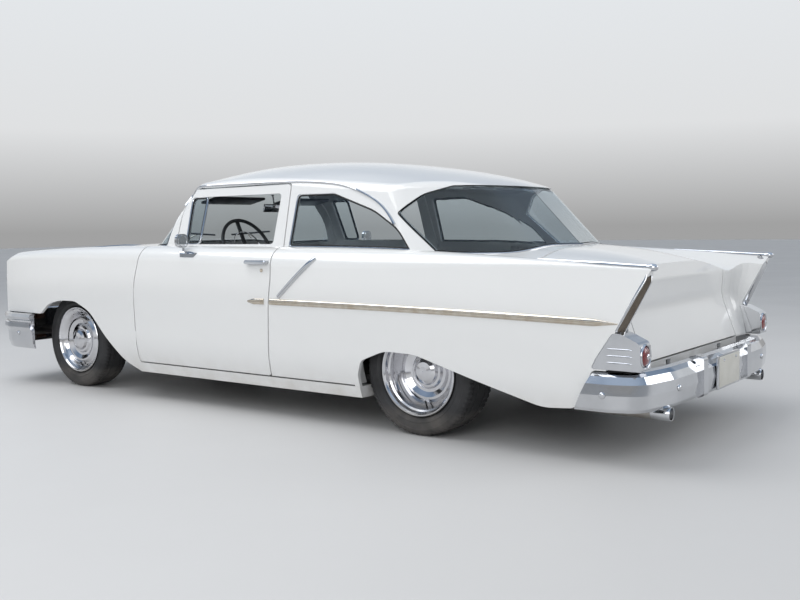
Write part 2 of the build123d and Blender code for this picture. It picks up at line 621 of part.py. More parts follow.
def build_frame():
    line = [(FRONT_AXLE_Y - 678, RAIL_FRONT_Z), (FRONT_AXLE_Y + 402, RAIL_FRONT_Z),
            (FRONT_AXLE_Y + 602, RAIL_MID_Z)]
    line += at_rear([(-234, RAIL_MID_Z), (-114, RAIL_REAR_Z), (301, RAIL_REAR_Z),
                     (431, RAIL_TAIL_Z), (1041, RAIL_TAIL_Z)])
    outer_x = RAIL_IN_X + RAIL_W
    rail = side_plate(line, RAIL_H, RAIL_IN_X, outer_x)
    tower = block(RAIL_IN_X + 5, outer_x - 10, FRONT_AXLE_Y - 60, FRONT_AXLE_Y + 60,
                  RAIL_FRONT_Z + RAIL_H / 2, TOWER_Z)
    front_y = REAR_AXLE_Y + SPRING_FRONT[0]
    front_eye = block(outer_x - 20, SPRING_X[1] + 10, front_y - 60, front_y - SEAT_GAP,
                      SPRING_FRONT[1] - 5, SPRING_FRONT[1] + 45)
    rear_y = REAR_AXLE_Y + SPRING_REAR[0]
    rear_eye = block(outer_x - 20, SPRING_X[1] + 10, rear_y + SEAT_GAP, rear_y + 50,
                     SPRING_REAR[1], RAIL_TAIL_Z + 30)
    mount_x = RAIL_IN_X + RAIL_W / 2
    rail_top, floor_foot = RAIL_MID_Z + RAIL_H, FLOOR_Z - SEAT_GAP
    mounts = [Pos(mount_x, y, (rail_top - 5 + floor_foot) / 2) *
              Cylinder(BODY_MOUNT_R, floor_foot - rail_top + 5) for y in BODY_MOUNTS]
    frame = whole(rail + tower + front_eye + rear_eye + mounts)
    crosses = [(FRONT_AXLE_Y - 598, RAIL_FRONT_Z), (FRONT_AXLE_Y, RAIL_FRONT_Z),
               (FRONT_AXLE_Y + 622, RAIL_MID_Z), (300, RAIL_MID_Z),
               (REAR_AXLE_Y + 231, RAIL_REAR_Z), (REAR_AXLE_Y + 996, RAIL_TAIL_Z)]
    for y, z in crosses:
        frame = frame + block(-outer_x + 20, outer_x - 20, y - CROSS_W / 2, y + CROSS_W / 2,
                              z, z + RAIL_H - 5)
    rail_end = line[-1][0]
    frame = frame + block(-HITCH_HALF_W, HITCH_HALF_W, rail_end - 1, rail_end + HITCH_T,
                          RAIL_TAIL_Z, RAIL_TAIL_Z + RAIL_H - 5)
    save("chassis_frame", frame)


def build_mechanics():
    width, length, height = ENGINE
    gear_w, gear_l, gear_h = GEARBOX
    back_y = ENGINE_FRONT_Y + length
    engine = block(-width / 2, width / 2, ENGINE_FRONT_Y, back_y, ENGINE_FOOT_Z,
                   ENGINE_FOOT_Z + height)
    gear_z = ENGINE_FOOT_Z - 90
    engine = engine + block(-gear_w / 2, gear_w / 2, back_y - 1, back_y + gear_l, gear_z,
                            gear_z + gear_h)
    mount_foot = RAIL_FRONT_Z + RAIL_H - 5 + SEAT_GAP
    mount = block(130, 190, FRONT_AXLE_Y - 35, FRONT_AXLE_Y + 35, mount_foot, ENGINE_FOOT_Z + 1)
    save("engine_block", engine + [mount, mirrored(mount)])

    start = Vector(0, back_y + gear_l + SEAT_GAP, TYRE_R - 2)
    end = Vector(0, REAR_AXLE_Y - DIFF_R - SEAT_GAP, TYRE_R)
    save("driveshaft", extrude(Plane(origin=start, z_dir=end - start) * Circle(SHAFT_R),
                               (end - start).length))

    half = REAR_TRACK_X + REAR_TYRE_W / 2 - LIP_INSET - REAR_DISH - DISC_T - DRUM_W - SEAT_GAP
    outline = Polyline((0, 0, 0), (0, 0, DIFF_R), (60, 0, DIFF_R), (120, 0, 60),
                       (140, 0, AXLE_TUBE_R), (half, 0, AXLE_TUBE_R), (half, 0, 0), close=True)
    axle = Pos(0, REAR_AXLE_Y, TYRE_R) * revolve(make_face(outline.edges()), axis=Axis.X)
    save("rear_axle", whole(axle))

    seat_z = TYRE_R - AXLE_TUBE_R - SEAT_GAP - SPRING_T
    line = at_rear([SPRING_FRONT, (-SPRING_FLAT, seat_z), (SPRING_FLAT, seat_z), SPRING_REAR])
    spring = side_plate(line, SPRING_T, *SPRING_X)
    front_y, rear_y = REAR_AXLE_Y + SPRING_FRONT[0], REAR_AXLE_Y + SPRING_REAR[0]
    save("leaf_springs", pair(spring & block(*SPRING_X, front_y, rear_y, 80, 500)))

    tank = block(-TANK_HALF_W, TANK_HALF_W, REAR_AXLE_Y + 481, REAR_AXLE_Y + 931,
                 RAIL_TAIL_Z - 120, RAIL_TAIL_Z - SEAT_GAP)
    save("fuel_tank", fillet(tank.edges().filter_by(Axis.Z), 40))

    route = [(460, 340, 300), (440, 520, 232), (640, 760, 222), (680, 960, 224), (680, 1262, 224)]
    path = FilletPolyline(*[Vector(x, REAR_AXLE_Y + y, z) for x, y, z in route], radius=70)
    pipe = sweep(Plane(origin=path @ 0, z_dir=path % 0) * Circle(30), path=path)
    rail_side = RAIL_IN_X + RAIL_W + SEAT_GAP
    hanger_y = REAR_AXLE_Y + route[1][1]
    hanger = block(rail_side, rail_side + 18, hanger_y - 12, hanger_y + 12, route[1][2],
                   RAIL_TAIL_Z + RAIL_H)
    save("exhaust", pair(pipe + hanger))


def revolved(profile, x, y):
    face = make_face(Polyline(*[(a, 0, r) for a, r in profile], close=True).edges())
    return Pos(x, y, TYRE_R) * revolve(face, axis=Axis.X)


def tyre_profile(width, lip):
    h = width / 2
    half = [(lip - 12, RIM_SEAT_R + SEAT_GAP), (lip - 12, RIM_LIP_R + 3), (h - 3, 248),
            (h, 272), (h - 7, 306), (h - 18, TYRE_R - 5), (h - 34, TYRE_R)]
    return [(-a, r) for a, r in half] + half[::-1]


def wheel_profile(lip, dish):
    """Axial place and radius: barrel and lips, stepped disc, hub and cap."""
    face = lip - dish
    back = -lip
    step = dish / 4
    return [(back, RIM_SEAT_R - 8), (back, RIM_LIP_R), (back + 8, RIM_LIP_R),
            (back + 11, RIM_SEAT_R), (lip - 11, RIM_SEAT_R), (lip - 8, RIM_LIP_R - 2),
            (lip - 3, RIM_LIP_R), (lip, RIM_LIP_R - 3), (lip - 1, RIM_LIP_R - 9),
            (lip - 9, RIM_LIP_R - 16), (lip - step - 4, 205), (lip - step - 10, 196),
            (lip - 3 * step, 188), (face - 8, 176), (face - 4, 166), (face + 8, 150),
            (face + 9, 138), (face - 4, 112), (face - 3, 96), (face + 8, 86), (face + 10, 74),
            (face + 26, 66), (face + 36, 48), (face + 42, 24), (face + 43, 0),
            (face - DISC_T, 0), (face - DISC_T, 90), (face - DISC_T - 4, 160),
            (face - DISC_T - 6, 180), (lip - 3 * step - 14, 196), (lip - step - 20, 202)]


def build_wheels():
    for place, y, x, width, dish in (
            ("front", FRONT_AXLE_Y, FRONT_TRACK_X, FRONT_TYRE_W, FRONT_DISH),
            ("rear", REAR_AXLE_Y, REAR_TRACK_X, REAR_TYRE_W, REAR_DISH)):
        lip = width / 2 - LIP_INSET
        drum_x = x + lip - dish - DISC_T
        drum = Pos(drum_x - DRUM_W / 2 + 1, y, TYRE_R) * Rot(0, 90, 0) * Cylinder(DRUM_R, DRUM_W + 2)
        save_sides(f"tyre_{place}", revolved(tyre_profile(width, lip), x, y))
        save_sides(f"wheel_{place}", revolved(wheel_profile(lip, dish), x, y) + drum)
    build_front_suspension(FRONT_TRACK_X + FRONT_TYRE_W / 2 - LIP_INSET - FRONT_DISH - DISC_T - DRUM_W)


def build_front_suspension(hub_x):
    y = FRONT_AXLE_Y
    pin_x = hub_x - SEAT_GAP - KINGPIN_INSET
    spindle = Pos((pin_x + hub_x - SEAT_GAP) / 2, y, TYRE_R) * Rot(0, 90, 0) * \
        Cylinder(50, KINGPIN_INSET)
    post = Pos(pin_x, y, TYRE_R) * Cylinder(KINGPIN_R, 2 * KINGPIN_HALF_H)
    steer_arm = block(pin_x - 16, pin_x + 16, y, y + 150, TYRE_R - 90, TYRE_R - 66)
    save_sides("knuckle", spindle + post + steer_arm)

    rail_x = RAIL_IN_X + RAIL_W + SEAT_GAP
    low = TYRE_R - KINGPIN_HALF_H - SEAT_GAP
    arm_line = [(rail_x, RAIL_FRONT_Z + RAIL_H), (rail_x, RAIL_FRONT_Z), (pin_x - 60, low - 35),
                (pin_x + 25, low - 35), (pin_x + 25, low), (pin_x - 40, low)]
    lower = front_prism(arm_line, 1, y - 40, y + 40)
    high = TYRE_R + KINGPIN_HALF_H + SEAT_GAP
    upper = block(rail_x - 10, pin_x + 20, y - 30, y + 30, high, high + 22)
    save("front_suspension", pair(group(lower, upper)))


def build_cabin():
    top = SEAT_FOOT_Z + CUSHION_H + SEAT_GAP
    cushion = side_prism([(-430, SEAT_FOOT_Z), (70, SEAT_FOOT_Z), (90, top - SEAT_GAP),
                          (-450, top - SEAT_GAP)], [20, 20, 30, 50], -640, 640)
    back = side_prism([(0, top), (110, top), (205, 930), (128, 940)], [20, 20, 35, 35], -640, 640)
    save("front_seat", group(cushion, back))
    cushion = side_prism([(480, SEAT_FOOT_Z), (900, SEAT_FOOT_Z), (960, top - SEAT_GAP),
                          (460, top - SEAT_GAP)], [20, 20, 30, 50], -555, 555)
    back = side_prism([(860, top), (960, top), (1100, 900), (1020, 920)], [20, 20, 35, 35], -555, 555)
    save("rear_seat", group(cushion, back))

    lean = radians(COLUMN_LEAN)
    centre = Vector(DRIVER_X, *WHEEL_CENTRE)
    along = Vector(0, cos(lean), sin(lean))
    plane = Plane(origin=centre, z_dir=along)
    spokes = plane * Pos(0, 0, -12) * Box(2 * STEERING_R - 10, 26, 10)
    hub = plane * Pos(0, 0, -10) * Cylinder(34, 36)
    save("steering_wheel", plane * Torus(STEERING_R, 11) + spokes + hub)
    base = centre + along * (-28 - SEAT_GAP)
    down = Plane(origin=base, z_dir=along * -1)
    save("steering_column", extrude(down * Circle(COLUMN_R), 560))

    dash_y = FIREWALL_Y + FLOOR_T + SEAT_GAP
    dash = side_prism([(dash_y, 700), (-860, 720), (-790, 800), (-850, 935), (dash_y, 935)], [1, 30, 40, 30, 1], -735, 735)
    save("dashboard", dash - extrude(down * Circle(COLUMN_R + SEAT_GAP), 700))


def build_bumpers():
    front = FRONT_AXLE_Y
    line = [(0, front - 800), (660, front - 795), (880, front - 730), (944, front - 560),
            (946, front - 305)]
    section = [(0, 505), (26, 500), (34, 480), (30, 462), (18, 452), (20, 444), (32, 436), (34, 408),
               (22, 388), (14, 372), (10, 300), (-4, 258), (-14, 258), (-8, 300), (-6, 490), (-14, 498)]
    path = FilletPolyline(*[Vector(x, y, 0) for x, y in line], radius=[300, 160, 200])
    shape = sweep(profile_across(section, line), path=path)
    bullet = Pos(330, front - 800, 410) * Rot(90, 0, 0) * \
        revolve(make_face(Polyline((0, 0, 0), (78, 0, 0), (70, 0, 20), (40, 0, 34), (0, 0, 38),
                                   close=True).edges()), axis=Axis.Z)
    bracket_low, bracket_high = BRACKET_X
    bracket = block(bracket_low, bracket_high, front - 796, front - 678 - SEAT_GAP, 262, 292)
    save("front_bumper", whole(shape + [bullet, bracket]))

    rear = REAR_AXLE_Y
    line = [(0, rear + 1300), (640, rear + 1285), (900, rear + 1235), (946, rear + 1100),
            (946, rear + 930)]
    section = [(0, 255), (8, 270), (14, 330), (10, 378), (-8, 410), (-34, 425), (-70, 427),
               (-70, 421), (-40, 417), (-22, 403), (-6, 374), (-2, 330), (-6, 270), (-12, 255)]
    path = FilletPolyline(*[Vector(x, y, 0) for x, y in line], radius=[400, 110, 200])
    shape = sweep(profile_across(section, line), path=path)
    arch_low, arch_high = REAR_ARCH[7], REAR_ARCH[8]
    slant = at_rear([(arch_low[0] - 120, 100), (arch_low[0] + PANEL_GAP, arch_low[1]),
                     (arch_high[0] + PANEL_GAP, arch_high[1]), (arch_high[0] + PANEL_GAP, 600),
                     (arch_low[0] - 250, 600), (arch_low[0] - 250, 100)])
    slant = side_prism(slant, 1, 700, 1100)
    bracket = block(bracket_low, bracket_high, rear + 1041 + SEAT_GAP, rear + 1289,
                    RAIL_TAIL_Z + 4, RAIL_TAIL_Z + 34)
    guard = side_prism([(rear + 1280, 240), (rear + 1321, 262), (rear + 1318, 440),
                        (rear + 1280, 452), (rear + 1240, 440), (rear + 1280, 420)],
                       [4, 18, 22, 14, 4, 2], 300, 360)
    save("rear_bumper", whole(shape - slant + [guard, bracket]))


def profile_across(section, line):
    """A bumper section on the centre plane: outward of the plan line, and height."""
    outward = -1 if line[0][1] < 0 else 1
    y = line[0][1]
    pts = [Vector(0, y + outward * out, z) for out, z in section]
    return make_face(Polyline(*pts, close=True).edges())


build_front_body()
build_greenhouse()
build_doors()
build_rear_body()
build_floor()
build_frame()
build_mechanics()
build_wheels()
build_cabin()
build_bumpers()
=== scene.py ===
"""A white 1950s two-door sedan with tail fins, dressed for a studio picture.

Units are metres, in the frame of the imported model: X to the car's left, Y to the rear, Z up.
"""

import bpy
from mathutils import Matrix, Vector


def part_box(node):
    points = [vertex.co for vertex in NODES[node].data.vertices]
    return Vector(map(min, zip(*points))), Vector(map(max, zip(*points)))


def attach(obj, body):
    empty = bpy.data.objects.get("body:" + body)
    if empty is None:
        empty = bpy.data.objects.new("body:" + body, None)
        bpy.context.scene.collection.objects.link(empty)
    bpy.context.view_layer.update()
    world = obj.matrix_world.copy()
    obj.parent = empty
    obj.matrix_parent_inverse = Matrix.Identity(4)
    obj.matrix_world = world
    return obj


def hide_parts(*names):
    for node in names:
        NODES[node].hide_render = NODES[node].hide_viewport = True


bl_info = {
    "name": "Fifties Sedan Dressing",
    "version": (1, 0, 0),
    "blender": (4, 5, 0),
    "location": "3D View > Sidebar > Sedan",
    "description": "Finishes, bright trim, tyres, glass, cabin and studio "
                   "for a finned two-door sedan",
    "category": "Object",
}

import math

import bmesh
import bpy
from bpy.props import FloatProperty, FloatVectorProperty, IntProperty, PointerProperty
from mathutils import Matrix, Vector
from mathutils.bvhtree import BVHTree

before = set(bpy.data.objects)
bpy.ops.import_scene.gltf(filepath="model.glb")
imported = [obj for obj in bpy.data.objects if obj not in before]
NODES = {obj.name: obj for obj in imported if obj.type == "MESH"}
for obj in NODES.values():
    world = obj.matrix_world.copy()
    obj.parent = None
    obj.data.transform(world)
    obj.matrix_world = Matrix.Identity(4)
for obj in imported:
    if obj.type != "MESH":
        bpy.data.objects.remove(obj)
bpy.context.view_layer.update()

LEFT, RIGHT = (1, 0, 0), (-1, 0, 0)
BACK, FORWARD = (0, 1, 0), (0, -1, 0)
UP, DOWN = (0, 0, 1), (0, 0, -1)
OUT_X, OUT_Y, OUT_Z = 2, 3, 2  # rays towards the car start here, outside of it
SIDES = (("left", 1), ("right", -1))
DOORS = ("left_door", "right_door")

# Nearer corners are merged; edges that turn by more degrees stay sharp, or end a skin
MERGE, SKIN_MERGE = 1e-6, 2e-5
NODE_CREASE, PIECE_CREASE, SKIN_CREASE = 30, 38, 35
OUTLINE_STEP = 0.012
BEAD_ROOT, BEAD_STEPS = -0.002, 5
PANEL_GAP = 0.008
DOOR_REAR_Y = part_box("door_left")[1].y
TYRE_RADIUS = (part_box("tyre_front_left")[1].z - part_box("tyre_front_left")[0].z) / 2
COLUMN_LEAN = 25  # degrees
GRILLE_LOW, GRILLE_HIGH = 0.547, 0.778  # heights of the opening in the nose panel


def mm(*pairs):
    """Pairs of millimetres, in metres."""
    return [(a / 1000, b / 1000) for a, b in pairs]


# Places on the body's side, as (y, z)
SIDE_MOULDING = mm((112, 665), (350, 667), (1100, 663), (1700, 655), (2352, 640))
SASH_MOULDING = mm((602, 912), (480, 810), (352, 695))
DRIP_RAIL = mm((-690, 1225), (-668, 1318), (-560, 1340), (-294, 1347), (204, 1342), (437, 1330),
               (621, 1306), (763, 1262), (899, 1194), (1000, 1100), (1085, 985))
FIN_CREST = mm((1930, 930), (2080, 925), (2250, 910), (2475, 895))

# Turned profiles, as (along the axis, radius)
BOLT = mm((-3, 15), (3, 15), (7, 12), (9, 6), (9.5, 0))
FIN_CAP = mm((-20, 0), (-16, 12), (8, 17), (22, 15), (31, 9), (34, 0))
LAMP_RING = mm((-6, 46), (4, 46), (8, 48.5), (9, 51), (6, 53.5), (-2, 54.5))
LAMP_DOME = mm((-6, 44.5), (1, 43.5), (7, 38), (12, 28), (15, 15), (16, 0))
LAMP_EYE = mm((12, 0), (12, 14), (18, 12), (21, 6), (22, 0))
PLATE_SCREW = mm((0, 7), (3, 6), (4, 0))
EXHAUST_TIP = mm((-70, 27.5), (-64, 31.5), (20, 32.5), (25, 30.5), (24, 27.5), (-30, 26.5),
                 (-30, 0))
BUTTON = mm((-4, 9), (4, 9), (6, 7), (7, 4), (7.5, 0))
LOCK = mm((-3, 10), (4, 10), (6, 8), (6, 3), (3, 0))
MIRROR_GLASS = mm((-3, 0), (-3, 36), (1.5, 36), (3, 33), (1.5, 32), (1.5, 0))
WINDER = mm((-2, 26), (6, 24), (12, 14), (30, 10), (34, 0))
HEADLAMP_GLASS = mm((-8, 76), (4, 75), (14, 60), (21, 36), (24, 14), (24.5, 0))
VALVE = mm((-2, 4.5), (18, 4), (19, 5), (28, 5), (29, 0))
HORN_CAP = mm((6, 34), (12, 32), (18, 20), (20, 0))
DIAL_BEZEL = mm((-2, 56), (10, 56), (13, 52), (10, 48), (2, 47))
DIAL_FACE = mm((2, 47.5), (3.5, 47), (4, 0))
MIRROR_STEM = mm((0, 5), (75, 6), (80, 14))
AIR_CLEANER = mm((-2, 0), (-2, 55), (18, 58), (20, 150), (30, 160), (60, 160), (70, 150), (74, 50),
                 (78, 16), (88, 12), (89, 0))
EXHAUST_PORT = mm((-2, 0), (-2, 26), (30, 26), (34, 0))
FAN_SHAFT = mm((-2, 30), (44, 30), (46, 46), (58, 46), (60, 0))
PULLEY = mm((-2, 80), (10, 80), (15, 68), (20, 68), (25, 80), (34, 80), (36, 0))
RADIATOR_CAP = mm((0, 24), (10, 26), (14, 22), (15, 0))

# One half of the tyre: distance past the tyre's side, and radius (wall) or height past the crown
TYRE_WALL = mm((-32, 214.8), (-32, 228), (-14, 235), (-5, 245), (-1.2, 252), (0.4, 254),
               (0.4, 258), (-1, 260), (0, 272), (-1.5, 286), (-2, 290), (-0.5, 292), (-2, 296),
               (-7, 306), (-13, 316))
TYRE_SHOULDER = mm((-19, -5), (-24, -3), (-34, 0))

# The arm rest's section, as (inwards from the door, up)
ARM_REST = mm((0, -24), (28, -28), (48, -22), (54, 0), (48, 20), (20, 24), (0, 20))

# The look of every added piece decides its slot; the looks are filled in by make_materials
MATERIALS = {}


def mesh_piece(name, bm, look, body="car_body"):
    """Finishes a bmesh as a piece with one look that rides on a body."""
    bmesh.ops.remove_doubles(bm, verts=bm.verts, dist=MERGE)
    bmesh.ops.recalc_face_normals(bm, faces=bm.faces)
    mesh = bpy.data.meshes.new(name)
    bm.to_mesh(mesh)
    bm.free()
    mesh.materials.append(MATERIALS[look])
    mesh.shade_smooth()
    mesh.set_sharp_from_angle(angle=math.radians(PIECE_CREASE))
    piece = bpy.data.objects.new(name, mesh)
    bpy.context.scene.collection.objects.link(piece)
    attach(piece, body)
    return piece


def both_sides(name, make, look, bodies="car_body"):
    """The same piece on the left and, mirrored, on the right; bodies is one name or a pair."""
    pieces = []
    pair = bodies if isinstance(bodies, tuple) else (bodies, bodies)
    for (side, sign), body in zip(SIDES, pair):
        bm = make()
        if sign < 0:
            bmesh.ops.scale(bm, vec=(-1, 1, 1), verts=bm.verts)
        pieces.append(mesh_piece(f"{name}_{side}", bm, look, body))
    return pieces


def surface(*names):
    """A searchable copy of the outside of some CAD nodes."""
    bm = bmesh.new()
    for name in names:
        bm.from_mesh(NODES[name].data)
    tree = BVHTree.FromBMesh(bm)
    bm.free()
    return tree


def hit(tree, origin, direction):
    """The place that a ray meets, and the surface's normal there, turned against the ray."""
    place, normal, _, _ = tree.ray_cast(Vector(origin), Vector(direction).normalized())
    if place is None:
        raise RuntimeError(f"nothing lies along {direction} from {origin}")
    return place, -normal if normal.dot(Vector(direction)) > 0 else normal


def hits(tree, origins, direction):
    """The places that parallel rays meet, each with its normal."""
    return [hit(tree, origin, direction) for origin in origins]


def on_side(tree, line):
    """Places on the car's left side for (y, z) points, each with its outward normal."""
    return hits(tree, [(OUT_X, y, z) for y, z in line], RIGHT)


def curve_through(points, steps):
    """Points on a smooth line through the given ones, steps to each span."""
    pts = [Vector(p) for p in points]
    ends = [pts[0] * 2 - pts[1]] + pts + [pts[-1] * 2 - pts[-2]]
    line = []
    for a, b, c, d in zip(ends, ends[1:], ends[2:], ends[3:]):
        for i in range(steps):
            t = i / steps
            line.append(0.5 * (2 * b + (c - a) * t + (2 * a - 5 * b + 4 * c - d) * t * t
                               + (3 * b - a - 3 * c + d) * t ** 3))
    line.append(pts[-1])
    return line


def rounded_loop(corners, radius, steps):
    """A closed outline of (y, z) corners with rounded corners."""
    pts = [Vector(p) for p in corners]
    line = []
    for before, here, after in zip(pts[-1:] + pts[:-1], pts, pts[1:] + pts[:1]):
        back, ahead = (before - here), (after - here)
        reach = min(radius, back.length / 2.2, ahead.length / 2.2)
        start, end = here + back.normalized() * reach, here + ahead.normalized() * reach
        for i in range(steps + 1):
            t = i / steps
            line.append(start * (1 - t) ** 2 + here * 2 * t * (1 - t) + end * t ** 2)
    return line


def dense(line, step):
    """The same line with no two neighbours further apart than a step."""
    out = []
    for a, b in zip(line, line[1:]):
        count = max(1, math.ceil((b - a).length / step))
        out += [a.lerp(b, i / count) for i in range(count)]
    return out + [line[-1]]


def loft(bm, rings, closed=False):
    """Skins rings of points one after another; the ends are capped, or joined if it is closed."""
    first = ring = [bm.verts.new(spot) for spot in rings[0]]
    edges = [bm.edges.new(pair) for pair in zip(ring, ring[1:] + ring[:1])]
    for spots in rings[1:]:
        grown = bmesh.ops.extrude_edge_only(bm, edges=edges)["geom"]
        fresh = {v for v in grown if isinstance(v, bmesh.types.BMVert)}
        ring = [next(e.other_vert(v) for e in v.link_edges if e.other_vert(v) in fresh)
                for v in ring]
        edges = [bm.edges.get(pair) for pair in zip(ring, ring[1:] + ring[:1])]
        for vert, spot in zip(ring, spots):
            vert.co = spot
    if closed:
        loop = [bm.edges.get(pair) for pair in zip(first, first[1:] + first[:1])]
        bmesh.ops.bridge_loops(bm, edges=loop + edges)
    else:
        bm.faces.new(first)
        bm.faces.new(ring)
    return bm


def sweep(section, places, closed=False, scale=None):
    """Draws a closed section of (outward, across) along places of (point, outward normal)."""
    count = len(places)
    rings = []
    for i, (point, normal) in enumerate(places):
        before = places[i - 1][0] if i or closed else point
        after = places[(i + 1) % count][0] if i < count - 1 or closed else point
        along = (after - before).normalized()
        out = (normal - along * normal.dot(along)).normalized()
        across = along.cross(out)
        size = scale(i / (count - 1)) if scale else 1
        rings.append([point + (out * a + across * b) * size for a, b in section])
    return loft(bmesh.new(), rings, closed)


def spun(profile, centre, axis, steps=48):
    """Turns a profile of (along the axis, radius) points round an axis through a centre."""
    bm = bmesh.new()
    axis = Vector(axis).normalized()
    side = axis.orthogonal().normalized()
    centre = Vector(centre)
    verts = [bm.verts.new(centre + axis * a + side * r) for a, r in profile]
    edges = [bm.edges.new(pair) for pair in zip(verts, verts[1:])]
    bmesh.ops.spin(bm, geom=verts + edges, cent=centre, axis=axis, angle=math.tau, steps=steps,
                   use_merge=True)
    bmesh.ops.remove_doubles(bm, verts=bm.verts, dist=MERGE)
    return bm


def add_box(bm, size):
    """Adds a box of some size round the origin, and gives its corners."""
    verts = bmesh.ops.create_cube(bm, size=1)["verts"]
    bmesh.ops.scale(bm, vec=size, verts=verts)
    return verts


def bevel_all(bm, offset, segments=2):
    """Rounds every edge."""
    bmesh.ops.bevel(bm, geom=bm.edges, offset=offset, offset_type="OFFSET", segments=segments,
                    profile=0.5, affect="EDGES", material=-1)


def bead(width, height):
    """The section of a rounded moulding: it stands up from the body by its height."""
    half = width / 2
    arc = [math.pi * i / BEAD_STEPS for i in range(BEAD_STEPS + 1)]
    crown = [(height * math.sin(a), -half * math.cos(a)) for a in arc]
    return [(BEAD_ROOT, -half)] + crown + [(BEAD_ROOT, half)]


def tapered(start, rise, end=1, fall=0):
    """A scale that grows from the start of a sweep and shrinks to its end."""
    return lambda t: min(1, start + rise * t, end + fall * (1 - t))


# Shader parts shared by the materials

def new_group(name, inputs, outputs):
    """An empty shader group with its sockets, and its input and output nodes."""
    group = bpy.data.node_groups.new(name, "ShaderNodeTree")
    for socket, kind, value in inputs:
        item = group.interface.new_socket(socket, in_out="INPUT", socket_type=kind)
        if value is not None:
            item.default_value = value
    for socket in outputs:
        group.interface.new_socket(socket, in_out="OUTPUT", socket_type="NodeSocketFloat")
    return group, group.nodes.new("NodeGroupInput"), group.nodes.new("NodeGroupOutput")


def feed(tree, socket, value):
    """Links a socket to another one, or sets its value."""
    if isinstance(value, bpy.types.NodeSocket):
        tree.links.new(value, socket)
    else:
        socket.default_value = value


def node(tree, kind, inputs=(), **values):
    """Adds a node, sets its values, and links or sets its inputs."""
    made = tree.nodes.new(kind)
    for name, value in values.items():
        setattr(made, name, value)
    for socket, value in dict(inputs).items():
        feed(tree, made.inputs[socket], value)
    return made


def maths(tree, operation, a, b):
    """A sum on two values."""
    return node(tree, "ShaderNodeMath", {0: a, 1: b}, operation=operation).outputs[0]


def group_node(tree, name, inputs):
    """Adds one of the shared groups."""
    return node(tree, "ShaderNodeGroup", inputs, node_tree=bpy.data.node_groups[name])


def noise_band(tree, vector, scale, detail, low, high):
    """Noise stretched to run from nought to one between two of its values."""
    noise = node(tree, "ShaderNodeTexNoise", {"Vector": vector, "Scale": scale, "Detail": detail})
    return node(tree, "ShaderNodeMapRange", {"Value": noise.outputs["Fac"], "From Min": low,
                                             "From Max": high}).outputs["Result"]


def make_mottle():
    """Soft patches and fine grain: one mask of each."""
    group, start, end = new_group(
        "soft patches and grain",
        [("Vector", "NodeSocketVector", None), ("Patch Scale", "NodeSocketFloat", 3.0),
         ("Grain Scale", "NodeSocketFloat", 300.0)], ["Patches", "Grain"])
    vector = start.outputs["Vector"]
    patches = noise_band(group, vector, start.outputs["Patch Scale"], 4.0, 0.3, 0.7)
    grain = noise_band(group, vector, start.outputs["Grain Scale"], 2.0, 0.3, 0.7)
    group.links.new(patches, end.inputs["Patches"])
    group.links.new(grain, end.inputs["Grain"])


def make_road_dust():
    """Dust that gathers low on the car: a mask that fades out with height."""
    group, start, end = new_group(
        "road dust", [("Vector", "NodeSocketVector", None), ("Top", "NodeSocketFloat", 0.5)],
        ["Dust"])
    split = node(group, "ShaderNodeSeparateXYZ", {"Vector": start.outputs["Vector"]})
    fade = node(group, "ShaderNodeMapRange",
                {"Value": split.outputs["Z"], "From Min": start.outputs["Top"], "From Max": 0.1},
                interpolation_type="SMOOTHSTEP")
    spread = noise_band(group, start.outputs["Vector"], 9.0, 6.0, 0.25, 0.75)
    dust = maths(group, "MULTIPLY", fade.outputs["Result"], spread)
    group.links.new(dust, end.inputs["Dust"])


def mixed(tree, mask, a, b):
    """A colour that goes from a to b with a mask."""
    mix = node(tree, "ShaderNodeMix", data_type="RGBA")
    tree.links.new(mask, mix.inputs["Factor"])
    for socket, value in ((mix.inputs[6], a), (mix.inputs[7], b)):
        feed(tree, socket, value if isinstance(value, bpy.types.NodeSocket) else (*value, 1))
    return mix.outputs[2]


def ranged(tree, mask, low, high):
    """A value that goes from low to high with a mask."""
    return node(tree, "ShaderNodeMapRange", {"Value": mask, "To Min": low,
                                             "To Max": high}).outputs["Result"]


def new_material(name):
    """A new material: itself, its nodes, its shader and the place on the object."""
    material = bpy.data.materials.new(name)
    material.use_nodes = True
    tree = material.node_tree
    return (material, tree, tree.nodes["Principled BSDF"],
            node(tree, "ShaderNodeTexCoord").outputs["Object"])


def finish(look, name, colour, darker, rough, metallic=0.0, patch_scale=3.0, grain_scale=300.0,
           bump=0.0, bump_distance=0.0005, dust_top=None, dust_colour=(0.42, 0.38, 0.32),
           dust_rough=0.6, **shader_values):
    """A material whose colour, roughness and surface change with patches, grain and dust."""
    material, tree, shader, place = new_material(name)
    mottle = group_node(tree, "soft patches and grain",
                        {"Vector": place, "Patch Scale": patch_scale, "Grain Scale": grain_scale})
    tint = mixed(tree, mottle.outputs["Patches"], darker, colour)
    roughness = ranged(tree, mottle.outputs["Patches"], rough[1], rough[0])
    if dust_top is not None:
        dust = group_node(tree, "road dust", {"Vector": place, "Top": dust_top}).outputs["Dust"]
        tint = mixed(tree, dust, tint, dust_colour)
        mix = node(tree, "ShaderNodeMix", {"Factor": dust, "A": roughness, "B": dust_rough})
        roughness = mix.outputs["Result"]
    tree.links.new(tint, shader.inputs["Base Color"])
    tree.links.new(roughness, shader.inputs["Roughness"])
    shader.inputs["Metallic"].default_value = metallic
    if bump:
        relief = node(tree, "ShaderNodeBump", {"Height": mottle.outputs["Grain"], "Strength": bump,
                                               "Distance": bump_distance})
        tree.links.new(relief.outputs["Normal"], shader.inputs["Normal"])
    for socket, value in shader_values.items():
        shader.inputs[socket.replace("_", " ").title()].default_value = value
    MATERIALS[look] = material


def shaded(colour, share):
    """A colour with less light in it."""
    return [c * share for c in colour]


